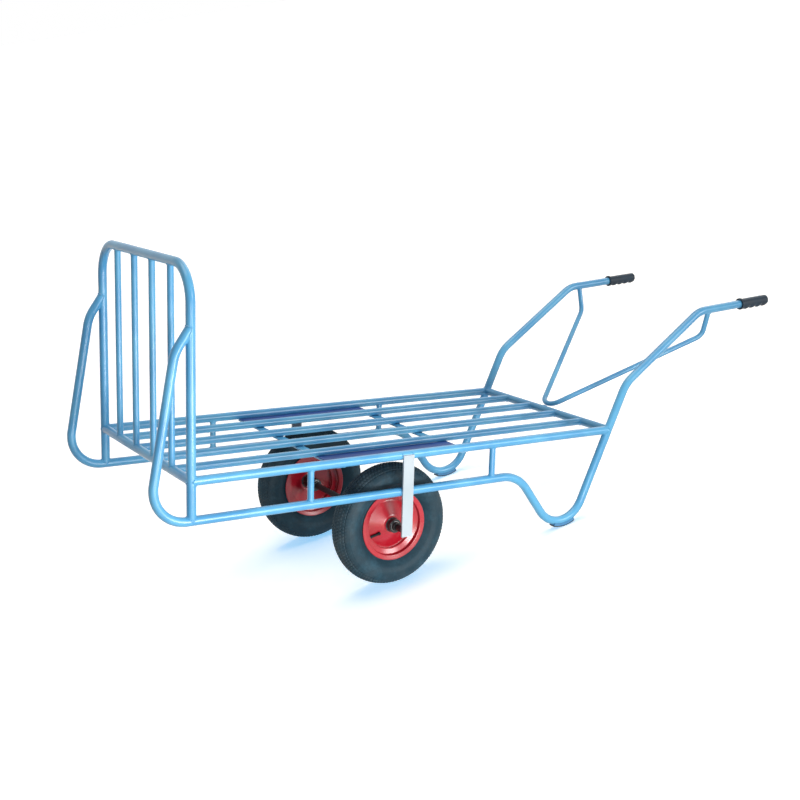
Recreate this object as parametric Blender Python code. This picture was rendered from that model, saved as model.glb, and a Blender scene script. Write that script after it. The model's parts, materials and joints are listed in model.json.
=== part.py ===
"""Two-wheeled market barrow: a welded steel tube frame on one fixed axle with two pneumatic wheels.

Everything is laid out in the deck's own frame: X runs from the headboard to the handles, Y across the
barrow (the user's left hand is at -Y), Z up. The deck tubes' centre plane is Z = 0, the headboard X = 0.
An empty tips that frame back until the wheels and the feet stand on the floor together, as the barrow parks.
"""

import math

import bmesh
import bpy
import numpy as np
from mathutils import Matrix, Vector

# Deck and headboard, between tube centre lines
DECK_LENGTH = 1.530
DECK_WIDTH = 0.720
HEADBOARD_HEIGHT = 0.611
HEADBOARD_CORNER_RADIUS = 0.105
LOWER_RAIL_DROP = 0.117
BAR_COUNT = 4

# Tube sizes, outside diameters
FRAME_TUBE = 0.028
DECK_BAR_TUBE = 0.025
HEAD_BAR_TUBE = 0.020
STRUT_TUBE = 0.020
BRACE_TUBE = 0.018

# Front guard of each side tube: its upper bend, the join above that, and its nose
FRONT_BEND_BELOW_TOP = 0.241
FRONT_BEND_REACH = 0.048
FRONT_BEND_RADIUS = 0.120
FRONT_JOIN_RISE = 0.071
NOSE_REACH = 0.132
NOSE_RADIUS = 0.100

# Foot of each side tube: the drop behind the wheels, the round foot and the leg that becomes the handle
HUMP_BEFORE_REAR = 0.3775
HUMP_RADIUS = 0.125
DROP_ANGLE = math.radians(53.5)
FOOT_RADIUS = 0.100
LEG_ANGLE = math.radians(66.5)

# Handle: lower bend, upper bend and the nearly level run that the hand holds
LOWER_BEND_HEIGHT = 0.157
LOWER_BEND_RADIUS = 0.120
DIAGONAL_ANGLE = math.radians(36.1)
UPPER_BEND_HEIGHT = 0.390
UPPER_BEND_RADIUS = 0.100
GRIP_RUN_ANGLE = math.radians(5.0)
HANDLE_REACH = 0.3182

# Brace that ties the two handles to the middle of the rear crossbar
BRACE_FOOT_RADIUS = 0.050
BRACE_SEAT_ANGLE = math.radians(50)
BRACE_BEHIND_BEND = 0.0452
BRACE_DROP = 0.096
BRACE_SPLAY = 0.025
BRACE_BEND_RADIUS = 0.045

# Grips
GRIP_LENGTH = 0.130
GRIP_WALL = 0.003
GRIP_COLLAR_RISE = 0.0035
GRIP_COLLAR_WIDTH = 0.007
GRIP_COLLAR_STEP = 0.0025
GRIP_END_WALL = 0.004
GRIP_END_EASE = 0.002
FINGER_START = 0.014
FINGER_COUNT = 4
FINGER_DEPTH = 0.0045

# Struts, wheel hangers, and the flat ties and guard plates over the wheels
FRONT_STRUT_OFFSET = 0.332
REAR_STRUT_BEFORE_BEND = 0.0435
HANGER_WIDTH = 0.038
HANGER_THICKNESS = 0.008
HANGER_BELOW_AXLE = 0.015
HANGER_TOP = 0.003
TIE_OFFSET = 0.225
TIE_WIDTH = 0.030
TIE_THICKNESS = 0.005
GUARD_THICKNESS = 0.003
FLAT_EDGE_BEVEL = 0.0008

# Axle and tyres
AXLE_BEFORE_REAR = 0.816
AXLE_DIAMETER = 0.020
TYRE_DIAMETER = 0.400
TYRE_WIDTH = 0.100
TYRE_BELOW_DECK = 0.045
TYRE_BESIDE_RAIL = 0.0275
TYRE_WALL = 0.007
TREAD_WALL = 0.010
CARCASS_LIFT = 0.004
SIDEWALL_ARC = math.radians(118)
LINING_ARC = math.radians(120)
TUBE_SLACK = 0.002

# Rims, discs, hubs and bearings
BEAD_RADIUS = 0.1015
BEAD_SEAT = 0.011
RIM_FLANGE_HEIGHT = 0.013
RIM_HALF_WIDTH = 0.032
RIM_WELL_DEPTH = 0.018
RIM_WELL_HALF_WIDTH = 0.012
RIM_WELL_SLOPE = 0.006
RIM_SHEET = 0.0025
RIM_LIP = 0.003
DISC_SHEET = 0.003
DISC_BOSS_WIDTH = 0.008
DISC_EDGE_WIDTH = 0.005
DISC_DISH = 0.0215
HUB_LENGTH = 0.088
HUB_WALL = 0.0057
HUB_CHAMFER = 0.0015
BEARING_DIAMETER = 0.032
BEARING_WIDTH = 0.012
BEARING_SHOULDER = 0.003
INNER_RACE_WALL = 0.0022
SHIELD_DEPTH = 0.001
COLLAR_DIAMETER = 0.030
COLLAR_WIDTH = 0.012

# Tyre valves
VALVE_ANGLE = math.radians(197)
VALVE_CLEARANCE = 0.0005
VALVE_DIAMETER = 0.010
VALVE_STEM_DIAMETER = 0.008
VALVE_LENGTH = 0.037
VALVE_CAP = 0.008
VALVE_BASE = 0.003
VALVE_LEAN = math.radians(30)

# Wear shoe under each foot, in flats before and behind the one that it stands on
SHOE_WRAP = math.radians(60)
SHOE_SHOULDER = 0.0008
SHOE_THICKNESS = 0.006
SHOE_FLATS_BEFORE = 3
SHOE_FLATS_BEHIND = 2
SHOE_FLAT_ANGLE = math.radians(7.2)

# Fits: welded and pressed pieces lie this far apart, running faces and shafts a little more
GAP = 0.0003
RUNNING_GAP = 0.0005

# Facets
FRAME_SIDES = 12
BAR_SIDES = 12
BRACE_SIDES = 10
BEND_STEP = math.radians(11)
CUTTER_SIDES = 24
GRIP_SIDES = 12
GRIP_STATIONS = 18
SHOE_WRAP_POINTS = 7
CROWN_POINTS = 9
LINING_POINTS = 5
TYRE_SEGMENTS = 30
WHEEL_SEGMENTS = 30
HUB_SEGMENTS = 16
INNER_TUBE_SEGMENTS = 18
VALVE_SIDES = 8

# Half length of the cutter that copes a tube's end, in diameters of the tube that it meets
COPE_REACH = 2.2

# Sizes that follow from the ones above
FRAME_RADIUS = FRAME_TUBE / 2
HALF_WIDTH = DECK_WIDTH / 2
BAR_PITCH = DECK_WIDTH / (BAR_COUNT + 1)
FRONT_BEND_HEIGHT = HEADBOARD_HEIGHT - FRONT_BEND_BELOW_TOP
FRONT_JOIN_HEIGHT = FRONT_BEND_HEIGHT + FRONT_JOIN_RISE
HUMP_X = DECK_LENGTH - HUMP_BEFORE_REAR
AXLE_X = DECK_LENGTH - AXLE_BEFORE_REAR
AXLE = Vector((AXLE_X, 0, -TYRE_BELOW_DECK - TYRE_DIAMETER / 2))
FRONT_STRUT_X = AXLE_X - FRONT_STRUT_OFFSET
REAR_STRUT_X = HUMP_X - HUMP_RADIUS * math.tan(DROP_ANGLE / 2) - REAR_STRUT_BEFORE_BEND
WHEEL_CENTRE = HALF_WIDTH - FRAME_RADIUS - TYRE_BESIDE_RAIL - TYRE_WIDTH / 2
CARCASS_RADIUS = (TYRE_DIAMETER / 2 + BEAD_RADIUS) / 2 + CARCASS_LIFT
BEAD_PLACE = RIM_HALF_WIDTH - RIM_SHEET - GAP
RIM_FLANGE_RADIUS = BEAD_RADIUS + RIM_FLANGE_HEIGHT
RIM_WELL_RADIUS = BEAD_RADIUS - RIM_WELL_DEPTH
HUB_RADIUS = BEARING_DIAMETER / 2 + GAP + HUB_WALL
VALVE_PLACE = DISC_SHEET / 2 + VALVE_CLEARANCE + VALVE_DIAMETER / 2
SIDES = (("left", -1), ("right", 1))


def clear_scene():
    for obj in list(bpy.data.objects):
        bpy.data.objects.remove(obj, do_unlink=True)


def finish(name, colour, roughness, metallic):
    """A plain painted, rubber or metal finish."""
    material = bpy.data.materials.new(name)
    material.use_nodes = True
    shader = material.node_tree.nodes["Principled BSDF"]
    shader.inputs["Base Color"].default_value = (*colour, 1)
    shader.inputs["Roughness"].default_value = roughness
    shader.inputs["Metallic"].default_value = metallic
    material.diffuse_color = (*colour, 1)
    return material


def empty(name, location, parent=None, turn=0.0):
    obj = bpy.data.objects.new(name, None)
    obj.location = location
    obj.rotation_euler = (0, turn, 0)
    obj.parent = parent
    bpy.context.scene.collection.objects.link(obj)
    return obj


def solid(name, bm, location, parent, material):
    """Turns a bmesh into a named object: faces pointing outwards, round ones shaded smooth."""
    bmesh.ops.recalc_face_normals(bm, faces=bm.faces)
    mesh = bpy.data.meshes.new(name)
    bm.to_mesh(mesh)
    bm.free()
    mesh.shade_smooth()
    mesh.set_sharp_from_angle(angle=math.radians(35))
    mesh.materials.append(material)
    obj = bpy.data.objects.new(name, mesh)
    obj.location = location
    obj.parent = parent
    bpy.context.scene.collection.objects.link(obj)
    return obj


def around(sides):
    """Angles of the corners of a regular polygon."""
    return [2 * math.pi * k / sides for k in range(sides)]


def skin(rings, close_rings=False):
    """A bmesh through rings of points: quads between neighbouring rings, and a cap on each end ring.

    close_rings joins the last ring to the first one instead, for a shape that runs right round.
    """
    bm = bmesh.new()
    loops = [[bm.verts.new(point) for point in ring] for ring in rings]
    pairs = list(zip(loops, loops[1:]))
    if close_rings:
        pairs.append((loops[-1], loops[0]))
    for one, two in pairs:
        for k in range(len(one)):
            after = (k + 1) % len(one)
            bm.faces.new((one[k], one[after], two[after], two[k]))
    if not close_rings:
        bm.faces.new(loops[0])
        bm.faces.new(loops[-1])
    return bm


def bent_path(corners, radii):
    """Centre line of a bent tube: straight runs through corners that are rounded to their bend radii."""
    corners = [Vector(corner) for corner in corners]
    path = [corners[0]]
    for before, corner, after, radius in zip(corners, corners[1:], corners[2:], radii):
        back = (before - corner).normalized()
        ahead = (after - corner).normalized()
        turn = math.pi - back.angle(ahead)
        centre = corner + (back + ahead).normalized() * radius / math.cos(turn / 2)
        reach = radius * math.tan(turn / 2)
        first = corner + back * reach - centre
        axis = first.cross(corner + ahead * reach - centre)
        steps = math.ceil(turn / BEND_STEP)
        turns = [Matrix.Rotation(turn * k / steps, 3, axis) for k in range(steps + 1)]
        path += [centre + turned_by @ first for turned_by in turns]
    return path + [corners[-1]]


def tube(name, path, diameter, sides, parent, material):
    """A round tube along a path, closed at both ends. Its section is carried along without twisting."""
    origin = path[0].copy()
    runs = [(after - before).normalized() for before, after in zip(path, path[1:])]
    tangents = [runs[0]] + [(a + b).normalized() for a, b in zip(runs, runs[1:])] + [runs[-1]]
    across = Vector((0, 1, 0)) if abs(runs[0].y) < 0.9 else Vector((0, 0, 1))
    across = (across - runs[0] * across.dot(runs[0])).normalized()
    rings = []
    last = tangents[0]
    for point, tangent in zip(path, tangents):
        across = last.rotation_difference(tangent) @ across
        last = tangent
        other = tangent.cross(across)
        corners = [across * math.cos(a) + other * math.sin(a) for a in around(sides)]
        rings.append([point - origin + corner * diameter / 2 for corner in corners])
    return solid(name, skin(rings), origin, parent, material)


def straight_tube(name, start, end, diameter, parent, material, sides=BAR_SIDES):
    return tube(name, [Vector(start), Vector(end)], diameter, sides, parent, material)


def saddle(obj, through, direction, diameter, reach=None):
    """Cuts an end of a tube to sit on the round tube that it meets, GAP away from it."""
    centre = Vector(through)
    along = Vector(direction).normalized() * (reach or COPE_REACH * diameter)
    cutter_diameter = (diameter + 2 * GAP) / math.cos(math.pi / CUTTER_SIDES)
    name = f"{obj.name}_saddle_{len(obj.modifiers) + 1}"
    ends = (centre - along, centre + along)
    cutter = straight_tube(name, *ends, cutter_diameter, obj.parent, None, CUTTER_SIDES)
    cutter.hide_render = True
    cutter.display_type = "WIRE"
    cut = obj.modifiers.new(cutter.name, "BOOLEAN")
    cut.operation = "DIFFERENCE"
    cut.solver = "EXACT"
    cut.object = cutter


def saddle_beside(obj, corner, direction, diameter):
    """Cuts an end of a tube to sit beside a tube that starts at the same corner and runs off one way only."""
    reach = COPE_REACH * diameter / 2
    saddle(obj, Vector(corner) + Vector(direction).normalized() * reach, direction, diameter, reach)


def flat_bar(name, low, high, parent, material):
    """A flat bar or plate between two corners, with its edges eased."""
    low, high = Vector(low), Vector(high)
    centre = (low + high) / 2
    half = (high - low) / 2
    section = [(-half.x, -half.y), (half.x, -half.y), (half.x, half.y), (-half.x, half.y)]
    bm = skin([[(x, y, z) for x, y in section] for z in (-half.z, half.z)])
    obj = solid(name, bm, centre, parent, material)
    bevel = obj.modifiers.new("eased_edges", "BEVEL")
    bevel.width = FLAT_EDGE_BEVEL
    bevel.segments = 1
    return obj


def turned(name, outline, segments, parent, material, location=(0, 0, 0)):
    """A turned piece: a closed outline of (radius, place along the axle) carried round its own Y axis.

    The first facet is centred straight below the axis, so that a wheel stands on a flat.
    """
    rings = []
    for k in range(segments):
        angle = -math.pi / 2 + 2 * math.pi * (k + 0.5) / segments
        rings.append([(r * math.cos(angle), y, r * math.sin(angle)) for r, y in outline])
    return solid(name, skin(rings, close_rings=True), location, parent, material)


def arc_points(middle, size, start, end, count):
    """Points of an oval arc in a section, as (radius, place along the axle) pairs, round that radius."""
    angles = np.linspace(start, end, count)
    return [(middle + size[0] * math.cos(a), size[1] * math.sin(a)) for a in angles]


def foot_layout():
    """Corner of the foot and the centre of its bend, where the drop line and the leg line meet."""
    drop, leg = math.tan(DROP_ANGLE), math.tan(LEG_ANGLE)
    corner_x = (leg * DECK_LENGTH + drop * HUMP_X - LOWER_RAIL_DROP) / (leg + drop)
    corner = Vector((corner_x, 0, leg * (corner_x - DECK_LENGTH)))
    towards_drop = Vector((-math.cos(DROP_ANGLE), 0, math.sin(DROP_ANGLE)))
    towards_leg = Vector((math.cos(LEG_ANGLE), 0, math.sin(LEG_ANGLE)))
    turn = math.pi - towards_drop.angle(towards_leg)
    centre = corner + (towards_drop + towards_leg).normalized() * FOOT_RADIUS / math.cos(turn / 2)
    return corner, centre


def handle_layout():
    """Corners of the handle: the lower bend, the upper bend and the open end of the tube."""
    lower = Vector((DECK_LENGTH + LOWER_BEND_HEIGHT / math.tan(LEG_ANGLE), 0, LOWER_BEND_HEIGHT))
    rise = UPPER_BEND_HEIGHT - LOWER_BEND_HEIGHT
    upper = Vector((lower.x + rise / math.tan(DIAGONAL_ANGLE), 0, UPPER_BEND_HEIGHT))
    end_height = UPPER_BEND_HEIGHT + HANDLE_REACH * math.tan(GRIP_RUN_ANGLE)
    return lower, upper, Vector((upper.x + HANDLE_REACH, 0, end_height))


FOOT_CORNER, FOOT_CENTRE = foot_layout()
LOWER_BEND, UPPER_BEND, HANDLE_END = handle_layout()
HANDLE_DIRECTION = (HANDLE_END - UPPER_BEND).normalized()
SOLE_RADIUS = FOOT_RADIUS + FRAME_RADIUS + GAP + SHOE_THICKNESS
STANDING_RADIUS = TYRE_DIAMETER / 2 * math.cos(math.pi / TYRE_SEGMENTS)


def standing_tilt():
    """Angle by which the barrow tips back: the slope of the line that touches both tyre and sole."""
    reach = FOOT_CENTRE - AXLE
    closing = math.asin((STANDING_RADIUS - SOLE_RADIUS) / math.hypot(reach.x, reach.z))
    return math.atan2(reach.z, reach.x) + closing


TILT = standing_tilt()


def at_side(point, side, inset=0.0):
    """The same point moved into the plane of a side rail."""
    return Vector((point[0], side * (HALF_WIDTH - inset), point[2]))


def make_side_tube(label, side, deck, paint):
    """One tube from the headboard round the nose, under the deck, round the foot and into the handle."""
    corners = [
        (0, 0, FRONT_JOIN_HEIGHT),
        (-FRONT_BEND_REACH, 0, FRONT_BEND_HEIGHT),
        (-NOSE_REACH, 0, -LOWER_RAIL_DROP),
        (HUMP_X, 0, -LOWER_RAIL_DROP),
        FOOT_CORNER,
        LOWER_BEND,
        UPPER_BEND,
        HANDLE_END,
    ]
    radii = [FRONT_BEND_RADIUS, NOSE_RADIUS, HUMP_RADIUS, FOOT_RADIUS]
    radii += [LOWER_BEND_RADIUS, UPPER_BEND_RADIUS]
    path = bent_path([at_side(corner, side) for corner in corners], radii)
    obj = tube(f"{label}_side_tube", path, FRAME_TUBE, FRAME_SIDES, deck, paint)
    saddle(obj, at_side((0, 0, FRONT_JOIN_HEIGHT), side), (0, 0, 1), FRAME_TUBE)


def make_side_rail(label, side, deck, paint):
    """Straight rail at deck level, from the headboard upright to the leg of the side tube."""
    front, rear = at_side((0, 0, 0), side), at_side((DECK_LENGTH, 0, 0), side)
    obj = straight_tube(f"{label}_side_rail", front, rear, FRAME_TUBE, deck, paint, FRAME_SIDES)
    saddle(obj, front, (0, 0, 1), FRAME_TUBE)
    saddle(obj, rear, LOWER_BEND - Vector((DECK_LENGTH, 0, 0)), FRAME_TUBE)


def make_headboard(deck, paint):
    """Arch of the headboard, standing on the lower rails, and the upright bars inside it."""
    corners = [
        (0, -HALF_WIDTH, -LOWER_RAIL_DROP),
        (0, -HALF_WIDTH, HEADBOARD_HEIGHT),
        (0, HALF_WIDTH, HEADBOARD_HEIGHT),
        (0, HALF_WIDTH, -LOWER_RAIL_DROP),
    ]
    path = bent_path(corners, [HEADBOARD_CORNER_RADIUS] * 2)
    arch = tube("headboard_arch", path, FRAME_TUBE, FRAME_SIDES, deck, paint)
    for _, side in SIDES:
        saddle(arch, at_side((0, 0, -LOWER_RAIL_DROP), side), (1, 0, 0), FRAME_TUBE)
    for k in range(BAR_COUNT):
        y = -HALF_WIDTH + BAR_PITCH * (k + 1)
        low, high = (0, y, 0), (0, y, HEADBOARD_HEIGHT)
        bar = straight_tube(f"headboard_bar_{k + 1}", low, high, HEAD_BAR_TUBE, deck, paint)
        for height in (0, HEADBOARD_HEIGHT):
            saddle(bar, (0, y, height), (0, 1, 0), FRAME_TUBE)
        saddle_beside(bar, (0, y, 0), (1, 0, 0), DECK_BAR_TUBE)


def make_deck(deck, paint):
    """Front and rear crossbars and the bars between them."""
    leg = LOWER_BEND - Vector((DECK_LENGTH, 0, 0))
    crossbars = (("front_crossbar", 0, (0, 0, 1), 1), ("rear_crossbar", DECK_LENGTH, leg, -1))
    for name, x, upright, inward in crossbars:
        ends = [Vector((x, side * HALF_WIDTH, 0)) for _, side in SIDES]
        bar = straight_tube(name, *ends, FRAME_TUBE, deck, paint, FRAME_SIDES)
        for end in ends:
            saddle(bar, end, upright, FRAME_TUBE)
            saddle_beside(bar, end, (inward, 0, 0), FRAME_TUBE)
    for k in range(BAR_COUNT):
        y = -HALF_WIDTH + BAR_PITCH * (k + 1)
        bar = straight_tube(f"deck_bar_{k + 1}", (0, y, 0), (DECK_LENGTH, y, 0), DECK_BAR_TUBE, deck, paint)
        for x in (0, DECK_LENGTH):
            saddle(bar, (x, y, 0), (0, 1, 0), FRAME_TUBE)


def make_struts(label, side, deck, paint):
    """Short uprights between the side rail and the lower rail, one before and one behind the wheel."""
    for place, x in (("front", FRONT_STRUT_X), ("rear", REAR_STRUT_X)):
        low, high = at_side((x, 0, -LOWER_RAIL_DROP), side), at_side((x, 0, 0), side)
        strut = straight_tube(f"{label}_{place}_strut", low, high, STRUT_TUBE, deck, paint)
        for end in (low, high):
            saddle(strut, end, (1, 0, 0), FRAME_TUBE)


def make_hanger(label, side, deck, paint):
    """Flat bar on the outer faces of both rails, down to the axle's end."""
    inner = HALF_WIDTH + FRAME_RADIUS + GAP
    ys = sorted((side * inner, side * (inner + HANGER_THICKNESS)))
    low = (AXLE_X - HANGER_WIDTH / 2, ys[0], AXLE.z - HANGER_BELOW_AXLE)
    high = (AXLE_X + HANGER_WIDTH / 2, ys[1], HANGER_TOP)
    flat_bar(f"{label}_axle_hanger", low, high, deck, paint)


def make_ties_and_guards(deck, paint, guard_paint):
    """Two flat ties under the deck bars, and a thin plate over each wheel resting on them."""
    top = -DECK_BAR_TUBE / 2 - GAP
    rail_side = HALF_WIDTH - math.sqrt((FRAME_RADIUS + GAP) ** 2 - min(-top, FRAME_RADIUS) ** 2)
    for place, x in (("front", AXLE_X - TIE_OFFSET), ("rear", AXLE_X + TIE_OFFSET)):
        low = (x - TIE_WIDTH / 2, -rail_side, top - TIE_THICKNESS)
        flat_bar(f"{place}_cross_tie", low, (x + TIE_WIDTH / 2, rail_side, top), deck, paint)
    underside, upside = top + GAP, top + GAP + GUARD_THICKNESS
    bar_side = HALF_WIDTH - BAR_PITCH + math.sqrt((DECK_BAR_TUBE / 2 + GAP) ** 2 - upside**2)
    outer_side = HALF_WIDTH - math.sqrt((FRAME_RADIUS + GAP) ** 2 - upside**2)
    reach = TIE_OFFSET + TIE_WIDTH / 2
    for label, side in SIDES:
        ys = sorted((side * bar_side, side * outer_side))
        low = (AXLE_X - reach, ys[0], underside)
        flat_bar(f"{label}_wheel_guard", low, (AXLE_X + reach, ys[1], upside), deck, guard_paint)


def make_brace(deck, paint):
    """Bent brace: its round foot sits on the rear crossbar, and its ends splay out to the two handles."""
    seat = FRAME_RADIUS + BRACE_TUBE / 2 + GAP
    foot = Vector((DECK_LENGTH + seat * math.cos(BRACE_SEAT_ANGLE), 0, seat * math.sin(BRACE_SEAT_ANGLE)))
    top = UPPER_BEND + HANDLE_DIRECTION * BRACE_BEHIND_BEND / HANDLE_DIRECTION.x
    tops = [at_side(top, side) for _, side in SIDES]
    bends = [at_side(top, side, BRACE_SPLAY) - Vector((0, 0, BRACE_DROP)) for _, side in SIDES]
    half_turn = (math.pi - (bends[0] - foot).angle(bends[1] - foot)) / 2
    middle = ((bends[0] + bends[1]) / 2 - foot).normalized()
    corner = foot - middle * BRACE_FOOT_RADIUS * (1 / math.cos(half_turn) - 1)
    radii = [BRACE_BEND_RADIUS, BRACE_FOOT_RADIUS, BRACE_BEND_RADIUS]
    path = bent_path([tops[0], bends[0], corner, bends[1], tops[1]], radii)
    brace = tube("handle_brace", path, BRACE_TUBE, BRACE_SIDES, deck, paint)
    for end in tops:
        saddle(brace, end, HANDLE_DIRECTION, FRAME_TUBE)


def make_shoe(label, side, deck, steel):
    """Wear shoe: a cradle round the underside of the foot bend with a flat sole, in flats along the bend."""
    seat_radius = (FRAME_RADIUS + GAP) / math.cos(SHOE_WRAP / (SHOE_WRAP_POINTS - 1))
    wrap = np.linspace(-SHOE_WRAP, SHOE_WRAP, SHOE_WRAP_POINTS)
    section = [(seat_radius * math.sin(a), seat_radius * math.cos(a)) for a in wrap]
    half, shoulder = section[-1][0] + SHOE_SHOULDER, section[-1][1]
    sole = SOLE_RADIUS - FOOT_RADIUS
    section += [(half, shoulder), (half, sole), (-half, sole), (-half, shoulder)]
    stretch = 1 / math.cos(SHOE_FLAT_ANGLE / 2)
    rings = []
    for k in range(-SHOE_FLATS_BEFORE, SHOE_FLATS_BEHIND + 2):
        angle = TILT + SHOE_FLAT_ANGLE * (k - 0.5)
        down = Vector((math.sin(angle), 0, -math.cos(angle)))
        rings.append([down * (FOOT_RADIUS + depth) * stretch + Vector((0, y, 0)) for y, depth in section])
    solid(f"{label}_foot_shoe", skin(rings), at_side(FOOT_CENTRE, side), deck, steel)


def grip_radius(along, angle):
    """Radius of the grip: the collar first, then a round core that swells downwards between the fingers."""
    core = FRAME_RADIUS + GRIP_WALL
    if along <= GRIP_COLLAR_WIDTH:
        return core + GRIP_COLLAR_RISE
    if along >= GRIP_LENGTH:
        return core - GRIP_END_EASE
    pitch = (GRIP_LENGTH - FINGER_START) / FINGER_COUNT
    wave = 0.5 - 0.5 * math.cos(2 * math.pi * max(0, along - FINGER_START) / pitch)
    below = max(0, -math.sin(angle)) ** 2
    return core + FINGER_DEPTH * wave * below


def make_grip(label, side, deck, rubber):
    """Moulded grip: a collar at the inner end, finger hollows below, and a closed end over the tube."""
    reach = GRIP_LENGTH - GRIP_END_WALL
    start = at_side(HANDLE_END - HANDLE_DIRECTION * reach, side)
    places = [0, GRIP_COLLAR_WIDTH, GRIP_COLLAR_WIDTH + GRIP_COLLAR_STEP]
    places += list(np.linspace(FINGER_START, GRIP_LENGTH - GRIP_END_EASE, GRIP_STATIONS)) + [GRIP_LENGTH]
    bore = (FRAME_RADIUS + GAP) / math.cos(math.pi / GRIP_SIDES)
    outer = [[(grip_radius(x, a), x, a) for a in around(GRIP_SIDES)] for x in places]
    inner = [[(bore, x, a) for a in around(GRIP_SIDES)] for x in (0, reach + GAP)]
    rings = [[(x, r * math.cos(a), r * math.sin(a)) for r, x, a in ring] for ring in inner[::-1] + outer]
    obj = solid(f"{label}_grip", skin(rings), start, deck, rubber)
    obj.rotation_euler = (0, -GRIP_RUN_ANGLE, 0)


def make_axle(deck, dark):
    """Fixed axle between the hangers, with a collar on each side of each hub."""
    end = Vector((0, HALF_WIDTH + FRAME_RADIUS, 0))
    straight_tube("axle", AXLE - end, AXLE + end, AXLE_DIAMETER, deck, dark, HUB_SEGMENTS)
    bore = (AXLE_DIAMETER / 2 + GAP) / math.cos(math.pi / HUB_SEGMENTS)
    outer = COLLAR_DIAMETER / 2
    half = COLLAR_WIDTH / 2
    outline = [(bore, -half), (outer, -half), (outer, half), (bore, half)]
    for label, side in SIDES:
        for place, way in (("outer", 1), ("inner", -1)):
            y = side * (WHEEL_CENTRE + way * (HUB_LENGTH / 2 + RUNNING_GAP + half))
            turned(f"{label}_{place}_collar", outline, HUB_SEGMENTS, deck, dark, AXLE + Vector((0, y, 0)))


def tyre_outline():
    """Section of the tyre: round carcass, flatter tread, and an inside that opens between the two beads."""
    outer_radius = TYRE_DIAMETER / 2
    crown_size = (outer_radius - CARCASS_RADIUS, TYRE_WIDTH / 2)
    lining_size = (outer_radius - TREAD_WALL - CARCASS_RADIUS, TYRE_WIDTH / 2 - TYRE_WALL)
    low, shoulder = BEAD_RADIUS + GAP, RIM_FLANGE_RADIUS + RIM_LIP
    outer = [(low, BEAD_PLACE), (shoulder, BEAD_PLACE)]
    outer += arc_points(CARCASS_RADIUS, crown_size, SIDEWALL_ARC, -SIDEWALL_ARC, CROWN_POINTS)
    outer += [(shoulder, -BEAD_PLACE), (low, -BEAD_PLACE)]
    lining = arc_points(CARCASS_RADIUS, lining_size, -LINING_ARC, LINING_ARC, LINING_POINTS)
    return outer + [(low, BEAD_SEAT - BEAD_PLACE)] + lining + [(low, BEAD_PLACE - BEAD_SEAT)]


def rim_outline():
    """Section of the rim: rolled flanges, bead seats and the well between them, all in one sheet."""
    edge, sheet, turn_in = RIM_HALF_WIDTH, RIM_SHEET, RIM_WELL_HALF_WIDTH
    slope = RIM_WELL_SLOPE / RIM_WELL_DEPTH
    mitre = sheet * (math.hypot(1, slope) - slope)
    upper = [
        (RIM_FLANGE_RADIUS, edge + RIM_LIP),
        (RIM_FLANGE_RADIUS, edge),
        (BEAD_RADIUS, edge - sheet),
        (BEAD_RADIUS, turn_in + RIM_WELL_SLOPE),
        (RIM_WELL_RADIUS, turn_in),
    ]
    lower = [
        (RIM_WELL_RADIUS - sheet, turn_in + mitre),
        (BEAD_RADIUS - sheet, turn_in + RIM_WELL_SLOPE + mitre),
        (BEAD_RADIUS - sheet, edge),
        (RIM_FLANGE_RADIUS - sheet, edge + RIM_LIP),
    ]
    one_side = upper + [(r, -y) for r, y in reversed(upper)]
    return one_side + [(r, -y) for r, y in reversed(lower)] + lower


def disc_outline(side):
    """Section of the wheel disc: a boss round the hub, then a cone that falls to a flat edge at the rim."""
    half = DISC_SHEET / 2
    bore = (HUB_RADIUS + GAP) / math.cos(math.pi / WHEEL_SEGMENTS)
    rim = RIM_WELL_RADIUS - RIM_SHEET - GAP
    dish = side * DISC_DISH
    front = [(bore, dish), (HUB_RADIUS + DISC_BOSS_WIDTH, dish), (rim - DISC_EDGE_WIDTH, 0), (rim, 0)]
    return [(r, y + half) for r, y in front] + [(r, y - half) for r, y in reversed(front)]


def hub_outline():
    """Section of the hub: a tube bored out at each end for its bearing."""
    half = HUB_LENGTH / 2
    seat = (BEARING_DIAMETER / 2 + GAP) / math.cos(math.pi / HUB_SEGMENTS)
    bore = BEARING_DIAMETER / 2 - BEARING_SHOULDER
    shoulder = half - BEARING_WIDTH - RUNNING_GAP
    one_end = [(bore, shoulder), (seat, shoulder), (seat, half)]
    one_end += [(HUB_RADIUS - HUB_CHAMFER, half), (HUB_RADIUS, half - HUB_CHAMFER)]
    return one_end + [(r, -y) for r, y in reversed(one_end)]


def make_wheel(label, side, deck, finishes):
    """One wheel on its own axis empty: tyre, inner tube, rim, disc, hub, two bearings and the valve."""
    place = AXLE + Vector((0, side * WHEEL_CENTRE, 0))
    axis = empty(f"{label}_wheel_axis", place, deck, -TILT)
    turned(f"{label}_tyre", tyre_outline(), TYRE_SEGMENTS, axis, finishes["tyre"])
    rim = turned(f"{label}_rim", rim_outline(), WHEEL_SEGMENTS, axis, finishes["rim"])
    cut_valve_hole(rim, side)
    turned(f"{label}_wheel_disc", disc_outline(side), WHEEL_SEGMENTS, axis, finishes["rim"])
    turned(f"{label}_hub", hub_outline(), HUB_SEGMENTS, axis, finishes["dark"])
    make_inner_tube(label, axis, finishes["rubber"])
    make_bearings(label, axis, finishes["steel"])
    make_valve(label, side, axis, finishes["dark"])


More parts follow.
